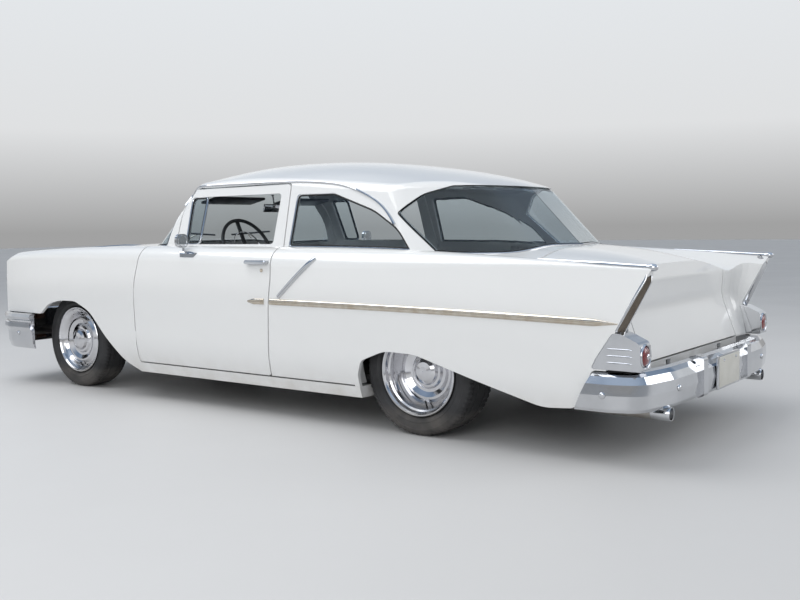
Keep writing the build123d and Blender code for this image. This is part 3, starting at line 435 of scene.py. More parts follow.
def make_materials(colours):
    """Every finish on the car, by plain name."""
    make_mottle()
    make_road_dust()
    paint, chrome, vinyl = tuple(colours.paint), tuple(colours.chrome), tuple(colours.vinyl)
    finish("paint", "white body enamel", paint, shaded(paint, 0.985), (0.3, 0.36),
           grain_scale=700, bump=0.04, bump_distance=0.0002, dust_top=0.36,
           dust_colour=(0.6, 0.58, 0.54), coat_weight=1.0, coat_roughness=0.03)
    finish("chrome", "bright chrome plate", chrome, shaded(chrome, 0.93), (0.035, 0.09),
           metallic=1.0, patch_scale=14, grain_scale=900, bump=0.02, bump_distance=0.0001)
    finish("stainless", "stainless moulding", (0.66, 0.61, 0.53), (0.52, 0.45, 0.36), (0.12, 0.2),
           metallic=1.0, patch_scale=25, grain_scale=1200, bump=0.05, bump_distance=0.0001)
    finish("wheel", "polished chrome wheel", (0.68, 0.68, 0.7), (0.6, 0.6, 0.62), (0.04, 0.1),
           metallic=1.0, patch_scale=18, dust_top=0.22, dust_colour=(0.35, 0.33, 0.3))
    finish("rubber", "black tyre rubber", (0.035, 0.035, 0.037), (0.022, 0.022, 0.023),
           (0.62, 0.78), patch_scale=8, grain_scale=600, bump=0.25, dust_top=0.16,
           dust_colour=(0.12, 0.11, 0.1), dust_rough=0.9)
    finish("vinyl", "pleated seat vinyl", vinyl, shaded(vinyl, 0.7), (0.38, 0.5), patch_scale=6,
           grain_scale=900, bump=0.3, bump_distance=0.0004)
    finish("dark trim", "dark moulded trim", (0.05, 0.055, 0.06), (0.035, 0.038, 0.042),
           (0.42, 0.55), grain_scale=800, bump=0.2)
    finish("chassis", "satin chassis black", (0.045, 0.045, 0.045), (0.03, 0.03, 0.03),
           (0.5, 0.65), grain_scale=200, bump=0.25, dust_top=0.6, dust_colour=(0.16, 0.145, 0.125),
           dust_rough=0.85)
    finish("cast", "painted cast iron", (0.28, 0.1, 0.05), (0.18, 0.08, 0.05), (0.5, 0.7),
           grain_scale=120, bump=0.5, dust_top=0.9, dust_colour=(0.14, 0.12, 0.1))
    finish("exhaust", "aluminised pipe", (0.45, 0.44, 0.42), (0.3, 0.27, 0.24), (0.35, 0.55),
           metallic=1.0, patch_scale=10, grain_scale=250, bump=0.15)
    finish("red lens", "ruby lens", (0.34, 0.01, 0.012), (0.22, 0.006, 0.008), (0.08, 0.16),
           patch_scale=40, grain_scale=260, bump=0.5, coat_weight=1.0, transmission_weight=0.35)
    finish("clear lens", "fluted lamp glass", (0.85, 0.87, 0.88), (0.72, 0.75, 0.77), (0.06, 0.12),
           patch_scale=30, grain_scale=220, bump=0.5, coat_weight=1.0, transmission_weight=0.55)
    finish("rubber seal", "black rubber seal", (0.02, 0.02, 0.02), (0.012, 0.012, 0.012),
           (0.5, 0.65), grain_scale=500, bump=0.2)
    finish("gunmetal", "ribbed gunmetal", (0.2, 0.17, 0.14), (0.13, 0.11, 0.09), (0.22, 0.32),
           metallic=0.85, patch_scale=20, grain_scale=600, bump=0.05)
    finish("plate", "blank number plate", (0.66, 0.65, 0.6), (0.6, 0.59, 0.54), (0.4, 0.5),
           patch_scale=12, grain_scale=500, bump=0.1)
    make_glass(tuple(colours.glass))
    make_grille_finish(paint, chrome)


def make_glass(tint):
    """Clear tinted glass with a faint unevenness in its polish."""
    material, tree, shader, place = new_material("tinted window glass")
    mottle = group_node(tree, "soft patches and grain",
                        {"Vector": place, "Patch Scale": 2.0, "Grain Scale": 60.0})
    tree.links.new(mixed(tree, mottle.outputs["Patches"], shaded(tint, 0.96), tint),
                   shader.inputs["Base Color"])
    tree.links.new(ranged(tree, mottle.outputs["Grain"], 0.0, 0.02), shader.inputs["Roughness"])
    for socket, value in (("Metallic", 0.0), ("Transmission Weight", 1.0), ("IOR", 1.3)):
        shader.inputs[socket].default_value = value
    MATERIALS["glass"] = material


def make_grille_finish(paint, chrome):
    """The nose panel in body enamel, with bright bars inside its opening."""
    finish("grille", "nose panel and grille bars", paint, shaded(paint, 0.985), (0.3, 0.36),
           grain_scale=700, bump=0.04)
    tree = MATERIALS["grille"].node_tree
    shader = tree.nodes["Principled BSDF"]
    place = node(tree, "ShaderNodeTexCoord").outputs["Object"]
    height = node(tree, "ShaderNodeSeparateXYZ", {"Vector": place}).outputs["Z"]
    above = maths(tree, "GREATER_THAN", height, GRILLE_LOW)
    below = maths(tree, "LESS_THAN", height, GRILLE_HIGH)
    inside = maths(tree, "MULTIPLY", above, below)
    tint = shader.inputs["Base Color"].links[0].from_socket
    tree.links.new(mixed(tree, inside, tint, chrome), shader.inputs["Base Color"])
    tree.links.new(inside, shader.inputs["Metallic"])
    tree.links.new(ranged(tree, inside, 0.33, 0.1), shader.inputs["Roughness"])


# Settings a user may change

COLOUR = {"size": 3, "subtype": "COLOR", "min": 0, "max": 1}


class SedanColours(bpy.types.PropertyGroup):
    """Colours of the car and the studio"""
    paint: FloatVectorProperty(name="Body enamel", description="Colour of the painted body",
                               default=(0.8, 0.805, 0.8), **COLOUR)
    chrome: FloatVectorProperty(name="Chrome", description="Colour of the plated parts",
                                default=(0.62, 0.63, 0.65), **COLOUR)
    vinyl: FloatVectorProperty(name="Seat vinyl", description="Colour of the seats",
                               default=(0.045, 0.05, 0.06), **COLOUR)
    glass: FloatVectorProperty(name="Glass tint", description="Tint of the window glass",
                               default=(0.8, 0.86, 0.88), **COLOUR)
    floor: FloatVectorProperty(name="Floor", description="Colour of the studio floor",
                               default=(0.62, 0.62, 0.62), **COLOUR)


class SedanTrim(bpy.types.PropertyGroup):
    """Sizes of the bright trim and the tread"""
    moulding_width: FloatProperty(name="Moulding width", description="Height of the side moulding",
                                  default=0.034, unit="LENGTH", min=0.01, max=0.06)
    moulding_stand: FloatProperty(name="Moulding stand", description="How far mouldings stand out",
                                  default=0.009, unit="LENGTH", min=0.002, max=0.03)
    frame_width: FloatProperty(name="Window trim width", description="Width of the window trim",
                               default=0.014, unit="LENGTH", min=0.004, max=0.03)
    drip_width: FloatProperty(name="Drip rail width", description="Width of the roof's drip rail",
                              default=0.016, unit="LENGTH", min=0.006, max=0.03)
    tread_blocks: IntProperty(name="Tread blocks", description="Tread blocks round one tyre",
                              default=72, min=24, max=120)


class SedanStudio(bpy.types.PropertyGroup):
    """The camera's lens, the lights and the floor"""
    focal: FloatProperty(name="Focal length", description="Lens of the camera in millimetres",
                         default=43.217, min=15, max=200)
    key_power: FloatProperty(name="Key light", description="Power of the large overhead light",
                             default=330, unit="POWER", min=0, max=5000)
    fill: FloatProperty(name="Fill", description="Strength of the light from all round",
                        default=0.55, min=0, max=3)
    floor_size: FloatProperty(name="Floor size", description="Width of the studio floor",
                              default=120, unit="LENGTH", min=10, max=300)


def sided(*names):
    """The names of both sides' nodes."""
    return [f"{name}_{side}" for name in names for side, _ in SIDES]


class PanelsOperator(bpy.types.Operator):
    """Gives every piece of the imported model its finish"""
    bl_idname = "sedan.finish_nodes"
    bl_label = "Finish the model's pieces"

    LOOKS = {
        "paint": ["cowl", "roof_panel", "rocker_sills", "rear_deck", "tail_panel", "hood",
                  "deck_lid"] + sided("front_fender", "quarter_panel", "door"),
        "chrome": ["front_bumper", "rear_bumper", "headlamps", "tail_lamps"] + sided(
            "door_fittings"),
        "glass": ["windshield", "rear_window", "quarter_windows"] + sided("vent_windows"),
        "chassis": ["chassis_frame", "floor_pan", "rear_axle", "leaf_springs", "fuel_tank",
                    "front_suspension", "driveshaft"] + sided("knuckle"),
        "cast": ["engine_block"],
        "exhaust": ["exhaust"],
        "grille": ["grille"],
        "dark trim": ["dashboard", "steering_wheel", "steering_column"],
        "vinyl": ["front_seat", "rear_seat"],
        "rubber": sided("tyre_front", "tyre_rear"),
        "wheel": sided("wheel_front", "wheel_rear"),
        "red lens": ["tail_lenses"],
    }

    def execute(self, context):
        make_materials(context.scene.sedan_colours)
        for look, names in self.LOOKS.items():
            for name in names:
                mesh = NODES[name].data
                mesh.materials.clear()
                mesh.materials.append(MATERIALS[look])
        for obj in NODES.values():
            obj.data.shade_smooth()
            obj.data.set_sharp_from_angle(angle=math.radians(NODE_CREASE))
        return {"FINISHED"}


class MouldingsOperator(bpy.types.Operator):
    """Runs the long side mouldings and the slanted sash mouldings along the body"""
    bl_idname = "sedan.mouldings"
    bl_label = "Side mouldings"

    DOOR_END = 0.012
    QUARTER_END = 0.006

    def execute(self, context):
        trim = context.scene.sedan_trim
        tree = surface("door_left", "quarter_panel_left")
        section = bead(trim.moulding_width, trim.moulding_stand)
        narrow = bead(trim.moulding_width * 0.9, trim.moulding_stand)
        line = dense(curve_through(SIDE_MOULDING, 10), 0.03)
        seam = DOOR_REAR_Y - self.DOOR_END
        on_door = on_side(tree, [p for p in line if p[0] < seam])
        on_quarter = on_side(tree, [p for p in line if p[0] > seam + PANEL_GAP + self.QUARTER_END])
        sash = on_side(tree, dense(curve_through(SASH_MOULDING, 8), 0.02))
        both_sides("door_moulding", lambda: sweep(section, on_door, scale=tapered(0.25, 2.2)),
                   "stainless", DOORS)
        both_sides("quarter_moulding", lambda: sweep(section, on_quarter,
                                                     scale=tapered(1, 0, 0.15, 14)), "stainless")
        both_sides("sash_moulding", lambda: sweep(narrow, sash), "chrome")
        return {"FINISHED"}


def skin_outline(name, origin, direction):
    """Places along the longest edge of the skin that a ray meets, anticlockwise from outside."""
    bm = bmesh.new()
    bm.from_mesh(NODES[name].data)
    bmesh.ops.remove_doubles(bm, verts=bm.verts, dist=SKIN_MERGE)
    bm.normal_update()
    bm.faces.index_update()
    bm.verts.index_update()
    bm.faces.ensure_lookup_table()
    bm.verts.ensure_lookup_table()
    seed = BVHTree.FromBMesh(bm).ray_cast(Vector(origin), Vector(direction).normalized())[2]
    if seed is None:
        raise RuntimeError(f"no skin of {name} lies along {direction}")
    inside, waiting = {seed}, [seed]
    while waiting:
        face = bm.faces[waiting.pop()]
        for edge in face.edges:
            for other in edge.link_faces:
                if other.index in inside:
                    continue
                if face.normal.angle(other.normal, math.tau) < math.radians(SKIN_CREASE):
                    inside.add(other.index)
                    waiting.append(other.index)
    beside = {}
    for edge in bm.edges:
        if sum(face.index in inside for face in edge.link_faces) == 1:
            a, b = edge.verts
            beside.setdefault(a.index, []).append(b.index)
            beside.setdefault(b.index, []).append(a.index)
    loops = []
    while beside:
        here = next(iter(beside))
        loop = []
        while here in beside:
            loop.append(bm.verts[here])
            ways = beside.pop(here)
            here = next((way for way in ways if way in beside), -1)
        outward = [sum((f.normal * f.calc_area() for f in v.link_faces if f.index in inside),
                       Vector()).normalized() for v in loop]
        loops.append([(v.co.copy(), normal) for v, normal in zip(loop, outward)])
    bm.free()
    places = max(loops, key=lambda loop: sum((a[0] - b[0]).length for a, b in
                                             zip(loop, loop[1:] + loop[:1])))
    middle = sum((p for p, _ in places), Vector()) / len(places)
    turn = sum(((a[0] - middle).cross(b[0] - middle) for a, b in
                zip(places, places[1:] + places[:1])), Vector())
    if turn.dot(sum((n for _, n in places), Vector())) < 0:
        places.reverse()
    return eased(evened(places, OUTLINE_STEP), 2, True)


def evened(places, step):
    """The same closed line of places, evenly spaced."""
    pairs = list(zip(places, places[1:] + places[:1]))
    spans = [(b[0] - a[0]).length for a, b in pairs]
    total = sum(spans)
    count = max(8, round(total / step))
    out, at, walked = [], 0, 0.0
    for i in range(count):
        want = total * i / count
        while at < len(spans) - 1 and walked + spans[at] < want:
            walked += spans[at]
            at += 1
        a, b = pairs[at]
        t = (want - walked) / spans[at] if spans[at] else 0
        out.append((a[0].lerp(b[0], t), a[1].lerp(b[1], t).normalized()))
    return out


def eased(places, rounds, closed=False):
    """The same places, their corners and their normals smoothed."""
    last = len(places) - 1
    for _ in range(rounds):
        fresh = []
        for k, (point, normal) in enumerate(places):
            if not closed and k in (0, last):
                fresh.append((point, normal))
                continue
            before, after = places[k - 1], places[0 if k == last else k + 1]
            fresh.append(((before[0] + point * 2 + after[0]) / 4,
                          (before[1] + normal + after[1]).normalized()))
        places = fresh
    return places


def shifted(section, across):
    """The same section, moved sideways along the surface."""
    return [(a, b + across) for a, b in section]


def round_section(radius, steps=10):
    """The section of a wire or a hose."""
    return [(radius * math.cos(math.tau * i / steps), radius * math.sin(math.tau * i / steps))
            for i in range(steps)]


def stud(tree, origin, direction, profile, steps=24):
    """A small turned piece that stands on the place a ray meets."""
    place, normal = hit(tree, origin, direction)
    return spun(profile, place, normal, steps)


def slab(centre, size, edge, turn=0.0):
    """A box with rounded edges, turned about the car's width."""
    bm = bmesh.new()
    add_box(bm, size)
    bevel_all(bm, edge, 3)
    bmesh.ops.rotate(bm, cent=(0, 0, 0), matrix=Matrix.Rotation(turn, 3, "X"), verts=bm.verts)
    bmesh.ops.translate(bm, vec=centre, verts=bm.verts)
    return bm


class WindowTrimOperator(bpy.types.Operator):
    """Edges every window with a bright reveal and a rubber seal, and runs the roof's drip rail"""
    bl_idname = "sedan.window_trim"
    bl_label = "Window trim"

    REVEAL_HEIGHT, RAIL_HEIGHT = 0.008, 0.012
    SEAL_WIDTH, SEAL_HEIGHT, SEAL_GAP = 0.007, 0.006, 0.002
    END_GLASS_Z, SIDE_GLASS_Z = 1.15, 1.1

    def execute(self, context):
        trim = context.scene.sedan_trim
        seal = shifted(bead(self.SEAL_WIDTH, self.SEAL_HEIGHT),
                       -trim.frame_width / 2 - self.SEAL_GAP)
        kinds = (("reveal", bead(trim.frame_width, self.REVEAL_HEIGHT), "chrome"),
                 ("seal", seal, "rubber seal"))
        for name, start_y in (("windshield", -OUT_Y), ("rear_window", OUT_Y)):
            places = skin_outline(name, (0, start_y, self.END_GLASS_Z), (0, -start_y, 0))
            for kind, section, look in kinds:
                mesh_piece(f"{name}_{kind}", sweep(section, places, closed=True), look)
        for name, node_name, y, bodies in (
                ("quarter_window", "quarter_windows", 0.7, "car_body"),
                ("vent_window", "vent_windows_left", -0.52, DOORS)):
            places = skin_outline(node_name, (OUT_X, y, self.SIDE_GLASS_Z), RIGHT)
            for kind, section, look in kinds:
                both_sides(f"{name}_{kind}", lambda: sweep(section, places, closed=True), look,
                           bodies)
        tree = surface("roof_panel")
        rail = [(y, z) for y, z in dense(curve_through(DRIP_RAIL, 8), 0.02)
                if tree.ray_cast(Vector((OUT_X, y, z)), Vector(RIGHT))[0]]
        line = eased(on_side(tree, rail), 6)
        section = bead(trim.drip_width, self.RAIL_HEIGHT)
        both_sides("drip_rail", lambda: sweep(section, line), "chrome")
        return {"FINISHED"}


class FinsOperator(bpy.types.Operator):
    """Crests the fins with bright spears and dresses their trailing edges and tail lamps"""
    bl_idname = "sedan.fins"
    bl_label = "Fins and tail lamps"

    ABOVE_FIN_Z = 1.3
    CREST_START_X, CREST_STEP, CREST_RAYS = 0.72, 0.004, 60
    STRIP_HALF, STRIP_ROOT, STRIP_STAND = 0.026, -0.022, 0.007
    STRIP_FOOT_Z, STRIP_HEIGHT, STRIP_STATIONS = 0.606, 0.276, 18
    STRIP_CANT = Vector((0.32, 0, 0))
    STRIP_EDGE = 0.029
    RIB_COUNT, RIB_FLOOR, RIB_HEIGHT = 14, 0.002, 0.003
    TAIL_FOOT_Y, TAIL_FOOT_Z, TAIL_RUN, TAIL_RISE = 2.338, 0.595, 0.156, 0.298
    TAIL_HALF, TIP_NARROWING, RIM_AHEAD = 0.034, 0.4, 0.03
    LENS_INSET, LENS_DEPTH = 0.044, 0.004
    LAMP_RIB_HEIGHTS = (0.47, 0.5, 0.53)

    def execute(self, context):
        tree = surface("quarter_panel_left")
        crest = self.crest(tree)
        both_sides("fin_spear", lambda: sweep(bead(0.024, 0.013), crest,
                                              scale=tapered(0.2, 1.4)), "chrome")
        both_sides("fin_cap", lambda: spun(FIN_CAP, crest[-1][0], (0, 1, -0.05), 32), "chrome")
        edge = self.trailing_edge(tree)
        width = self.STRIP_HALF * 2
        ribs = [(self.RIB_FLOOR + self.RIB_HEIGHT * (i % 2),
                 -self.STRIP_HALF + width * i / self.RIB_COUNT)
                for i in range(self.RIB_COUNT + 1)]
        strip = [(self.STRIP_ROOT, -self.STRIP_HALF)] + ribs + [(self.STRIP_ROOT, self.STRIP_HALF)]
        both_sides("fin_strip", lambda: sweep(strip, edge, scale=self.narrowing), "gunmetal")
        rim = [(self.STRIP_ROOT if a < 0 else a, b) for a, b in bead(0.008, 0.007)]
        for name, across in (("inner", -self.STRIP_EDGE), ("outer", self.STRIP_EDGE)):
            both_sides(f"fin_strip_{name}_edge",
                       lambda: sweep(shifted(rim, across), edge, scale=self.narrowing), "chrome")
        self.lamps()
        return {"FINISHED"}

    def crest(self, tree):
        """The ridge of the fin, found from above."""
        ridge = []
        for y, _ in dense(curve_through(FIN_CREST, 8), 0.02):
            starts = [(self.CREST_START_X + self.CREST_STEP * i, y, self.ABOVE_FIN_Z)
                      for i in range(self.CREST_RAYS)]
            spots = [tree.ray_cast(Vector(start), Vector(DOWN))[0] for start in starts]
            ridge.append((max((s for s in spots if s is not None), key=lambda s: s.z), Vector(UP)))
        return eased(ridge, 12)

    def trailing_edge(self, tree):
        """The middle of the fin's end face, from the lamp housing up to the tip."""
        places = []
        for i in range(self.STRIP_STATIONS + 1):
            z = self.STRIP_FOOT_Z + self.STRIP_HEIGHT * i / self.STRIP_STATIONS
            y = self.TAIL_FOOT_Y + self.TAIL_RUN * (z - self.TAIL_FOOT_Z) / self.TAIL_RISE
            rim, _ = hit(tree, (OUT_X, y - self.RIM_AHEAD, z), RIGHT)
            middle_x = rim.x - self.TAIL_HALF * self.narrowing(i / self.STRIP_STATIONS)
            place, normal = hit(tree, (middle_x, OUT_Y, z), FORWARD)
            outward = (normal + self.STRIP_CANT).normalized()
            places.append((place + outward * self.STRIP_STAND, outward))
        return eased(places, 4)

    def narrowing(self, t):
        """The share of the fin's end face that is left at a share of its height."""
        return 1 - self.TIP_NARROWING * t * t

    def lamps(self):
        """Bright rings, domed lenses and ribs on the tail lamps."""
        low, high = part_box("tail_lenses")
        centre = Vector((high.x - self.LENS_INSET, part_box("tail_lamps")[1].y - self.LENS_DEPTH,
                         (low.z + high.z) / 2))
        for name, profile, look in (("ring", LAMP_RING, "chrome"), ("dome", LAMP_DOME, "red lens"),
                                    ("eye", LAMP_EYE, "chrome")):
            both_sides(f"tail_lamp_{name}", lambda: spun(profile, centre, BACK), look)
        tree = surface("tail_lamps")
        for i, z in enumerate(self.LAMP_RIB_HEIGHTS):
            line = on_side(tree, [(2.3 + 0.015 * k, z) for k in range(9)])
            both_sides(f"lamp_rib_{i}", lambda: sweep(bead(0.008, 0.004), line,
                                                      scale=tapered(0.3, 6, 0.3, 6)), "chrome")


class BumpersOperator(bpy.types.Operator):
    """Adds the bumper bolts, the blank rear plate and the bright exhaust tips"""
    bl_idname = "sedan.bumpers"
    bl_label = "Bumper fittings"

    def execute(self, context):
        rear, front = surface("rear_bumper"), surface("front_bumper")
        for name, tree, origin, direction in (
                ("rear_side_bolt", rear, (OUT_X, 2.3, 0.33), RIGHT),
                ("rear_face_bolt", rear, (0.62, OUT_Y, 0.335), FORWARD),
                ("front_side_bolt", front, (OUT_X, -2.18, 0.36), RIGHT),
                ("front_face_bolt", front, (0.56, -OUT_Y, 0.36), BACK)):
            both_sides(name, lambda: stud(tree, origin, direction, BOLT), "chrome")
        face, _ = hit(rear, (0, OUT_Y, 0.345), FORWARD)
        mesh_piece("plate_holder", slab(face + Vector((0, 0.003, 0)), (0.33, 0.012, 0.17), 0.005),
                   "chrome")
        mesh_piece("blank_plate", slab(face + Vector((0, 0.008, 0)), (0.305, 0.008, 0.15), 0.003),
                   "plate")
        for i, x in enumerate((-0.09, 0.09)):
            place = face + Vector((x, 0.012, 0.055))
            mesh_piece(f"plate_screw_{i}", spun(PLATE_SCREW, place, BACK, 20), "chrome")
        pipe = Vector((0.68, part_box("exhaust")[1].y, 0.224))
        both_sides("exhaust_tip", lambda: spun(EXHAUST_TIP, pipe, BACK), "chrome")
        return {"FINISHED"}


class DoorFittingsOperator(bpy.types.Operator):
    """Adds the handle buttons, the mirror glass, the lock barrels and the inside trim"""
    bl_idname = "sedan.door_fittings"
    bl_label = "Door fittings"

    CABIN_X = 0.3
    ARM_REST_Z = 0.645
    STRIP_HEIGHTS = (0.56, 0.76)

    def execute(self, context):
        tree, handle = surface("door_left"), surface("door_fittings_left")
        both_sides("door_button", lambda: stud(handle, (OUT_X, 0.252, 0.887), RIGHT, BUTTON),
                   "chrome", DOORS)
        both_sides("door_lock", lambda: stud(tree, (OUT_X, 0.215, 0.84), RIGHT, LOCK),
                   "stainless", DOORS)
        both_sides("mirror_glass", lambda: spun(MIRROR_GLASS, (0.898, -0.4695, 1.008), BACK, 40),
                   "chrome", DOORS)
        inside = [(self.CABIN_X, -0.62 + 0.03 * i, self.ARM_REST_Z) for i in range(25)]
        inner = eased(hits(tree, inside, LEFT), 3)
        both_sides("arm_rest", lambda: sweep(ARM_REST, inner), "vinyl", DOORS)
        for i, z in enumerate(self.STRIP_HEIGHTS):
            inside = [(self.CABIN_X, -0.7 + 0.03 * k, z) for k in range(30)]
            line = eased(hits(tree, inside, LEFT), 3)
            both_sides(f"door_inner_strip_{i}", lambda: sweep(bead(0.014, 0.005), line),
                       "stainless", DOORS)
        both_sides("window_winder",
                   lambda: stud(tree, (self.CABIN_X, -0.3, 0.71), LEFT, WINDER), "chrome", DOORS)
        return {"FINISHED"}


class FrontOperator(bpy.types.Operator):
    """Adds the headlamp glasses, the hood spears and the wipers"""
    bl_idname = "sedan.front"
    bl_label = "Front fittings"

    def execute(self, context):
        low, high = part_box("headlamps")
        centre = Vector((high.x - 0.098, low.y + 0.034, (low.z + high.z) / 2))
        both_sides("headlamp_glass", lambda: spun(HEADLAMP_GLASS, centre, FORWARD), "clear lens")
        above = [(0.4, -2.3 + 0.03 * i, OUT_Z) for i in range(28)]
        spear = eased(hits(surface("hood"), above, DOWN), 4)
        both_sides("hood_spear", lambda: sweep(bead(0.018, 0.01), spear,
                                               scale=tapered(0.25, 5, 0.15, 4)),
                   "chrome", "hood_body")
        glass = surface("windshield")
        ahead = [(0.08 + 0.019 * i, -OUT_Y, 1.036 + 0.001 * i) for i in range(20)]
        blade = eased(hits(glass, ahead, BACK), 3)
        both_sides("wiper_blade", lambda: sweep(bead(0.007, 0.012), blade), "rubber seal")
        ahead = [(0.3 - 0.006 * i, -OUT_Y, 1.004 + 0.0032 * i) for i in range(11)]
        arm = eased([(p + n * 0.012, n) for p, n in hits(glass, ahead, BACK)], 3)
        both_sides("wiper_arm", lambda: sweep(round_section(0.004), arm), "stainless")
        return {"FINISHED"}


class TyresOperator(bpy.types.Operator):
    """Replaces the plain tyres with treaded ones and adds the valves"""
    bl_idname = "sedan.tyres"
    bl_label = "Tyres"

    TREAD_INSET, TREAD_HALF = 0.034, 0.06
    RINGS = (0.052, 0.026)
    GROOVE_TOP, GROOVE_FLOOR, GROOVE_DEPTH = 0.0035, 0.002, 0.007
    SHOULDER_INSET, SHOULDER_REACH, SHOULDER_DROP = 0.03, 0.024, 0.012
    STEPS_A_BLOCK, BLOCK_DEPTH = 3, 0.006
    VALVE_DROP = 0.183

    def execute(self, context):
        blocks = context.scene.sedan_trim.tread_blocks
        for place in ("front", "rear"):
            low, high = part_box(f"tyre_{place}_left")
            centre = (low + high) / 2
            half = (high.x - low.x) / 2
            bodies = (f"{place}_left_wheel", f"{place}_right_wheel")
            pieces = both_sides(f"{place}_tyre_tread", lambda: self.tyre(centre, half, blocks),
                                "rubber", bodies)
            for piece, (side, _) in zip(pieces, SIDES):
                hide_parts(f"tyre_{place}_{side}")
            wheel = surface(f"wheel_{place}_left")
            foot = (OUT_X, centre.y, centre.z - self.VALVE_DROP)
            both_sides(f"{place}_valve", lambda: stud(wheel, foot, RIGHT, VALVE, 16),
                       "rubber seal", bodies)
        return {"FINISHED"}

    def tyre(self, centre, half, blocks):
        """A tyre with ribbed walls, rings of tread and blocks cut into its shoulders."""
        crown, floor = TYRE_RADIUS, TYRE_RADIUS - self.GROOVE_DEPTH
        outer = [(half + a, r) for a, r in TYRE_WALL]
        outer += [(half + a, crown + r) for a, r in TYRE_SHOULDER]
        for ring in self.RINGS:
            a = (half - self.TREAD_INSET) * ring / self.TREAD_HALF
            outer += [(a + self.GROOVE_TOP, crown), (a + self.GROOVE_FLOOR, floor),
                      (a - self.GROOVE_FLOOR, floor), (a - self.GROOVE_TOP, crown)]
        steps = blocks * self.STEPS_A_BLOCK
        bm = spun(outer + [(-a, r) for a, r in reversed(outer)], centre, LEFT, steps)
        start = Vector(LEFT).orthogonal().normalized()
        other = Vector(LEFT).cross(start)
        for vert in bm.verts:
            arm = vert.co - centre
            flat = Vector((0, arm.y, arm.z))
            if (flat.length < crown - self.SHOULDER_DROP
                    or abs(arm.x) < half - self.SHOULDER_INSET - self.SHOULDER_REACH):
                continue
            turn = math.atan2(flat.dot(other), flat.dot(start)) / math.tau * steps
            if round(turn) % self.STEPS_A_BLOCK == 0:
                vert.co -= flat.normalized() * self.BLOCK_DEPTH
        return bm


class SeatsOperator(bpy.types.Operator):
    """Pads and pleats the two bench seats"""
    bl_idname = "sedan.seats"
    bl_label = "Seats"

    SPLIT_Z = 0.5455
    PLEATS = 14
    STATIONS_A_PLEAT = 6
    PLEAT_DEPTH = 0.008
    END_ROUND, END_DRAW = 0.03, 0.8
    CORNER_RADIUS, CORNER_STEPS = 0.05, 5

    def execute(self, context):
        split = self.SPLIT_Z
        for name, run, back_inset in (("front_seat", 0.83, 0.1), ("rear_seat", 0.8, 0.07)):
            low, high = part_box(name)
            depth = high.y - low.y
            cushion = [(low.y + 0.008, low.z + 0.02), (low.y, split - 0.03),
                       (low.y + 0.05, split), (low.y + depth * run - 0.02, split),
                       (low.y + depth * run - 0.01, low.z + 0.004),
                       (low.y + 0.03, low.z + 0.004)]
            back = [(low.y + depth * run - back_inset, split + 0.004),
                    (high.y - 0.075, high.z - 0.03), (high.y - 0.045, high.z),
                    (high.y - 0.012, high.z - 0.01), (high.y - 0.006, high.z - 0.05),
                    (high.y - 0.085, split + 0.004)]
            bm = bmesh.new()
            for corners in (cushion, back):
                outline = rounded_loop(corners, self.CORNER_RADIUS, self.CORNER_STEPS)
                loft(bm, self.pleated(outline, low.x, high.x))
            piece = mesh_piece(f"{name}_pleats", bm, "vinyl")
            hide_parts(name)
        return {"FINISHED"}

    def pleated(self, outline, x0, x1):
        """Rings of an outline of (y, z) across the car, drawn in at the pleats and the ends."""
        count = len(outline)
        middle = sum(outline, Vector((0, 0))) / count
        spans = [(outline[(i + 1) % count] - outline[i - 1]) for i in range(count)]
        inward = [Vector((-s.y, s.x)).normalized() for s in spans]
        inward = [n if n.dot(middle - p) > 0 else -n for n, p in zip(inward, outline)]
        stations = self.PLEATS * self.STATIONS_A_PLEAT
        half = self.STATIONS_A_PLEAT / 2
        rings = []
        for i in range(stations + 1):
            x = x0 + (x1 - x0) * i / stations
            draw = self.PLEAT_DEPTH * (abs(i % self.STATIONS_A_PLEAT - half) / half) ** 4
            near = min(x - x0, x1 - x) / self.END_ROUND
            if near < 1:
                arc = 1 - math.sqrt(max(0, 1 - (1 - near) ** 2))
                draw += self.END_ROUND * self.END_DRAW * arc
            rings.append([Vector((x, *(p + n * draw))) for p, n in zip(outline, inward)])
        return rings


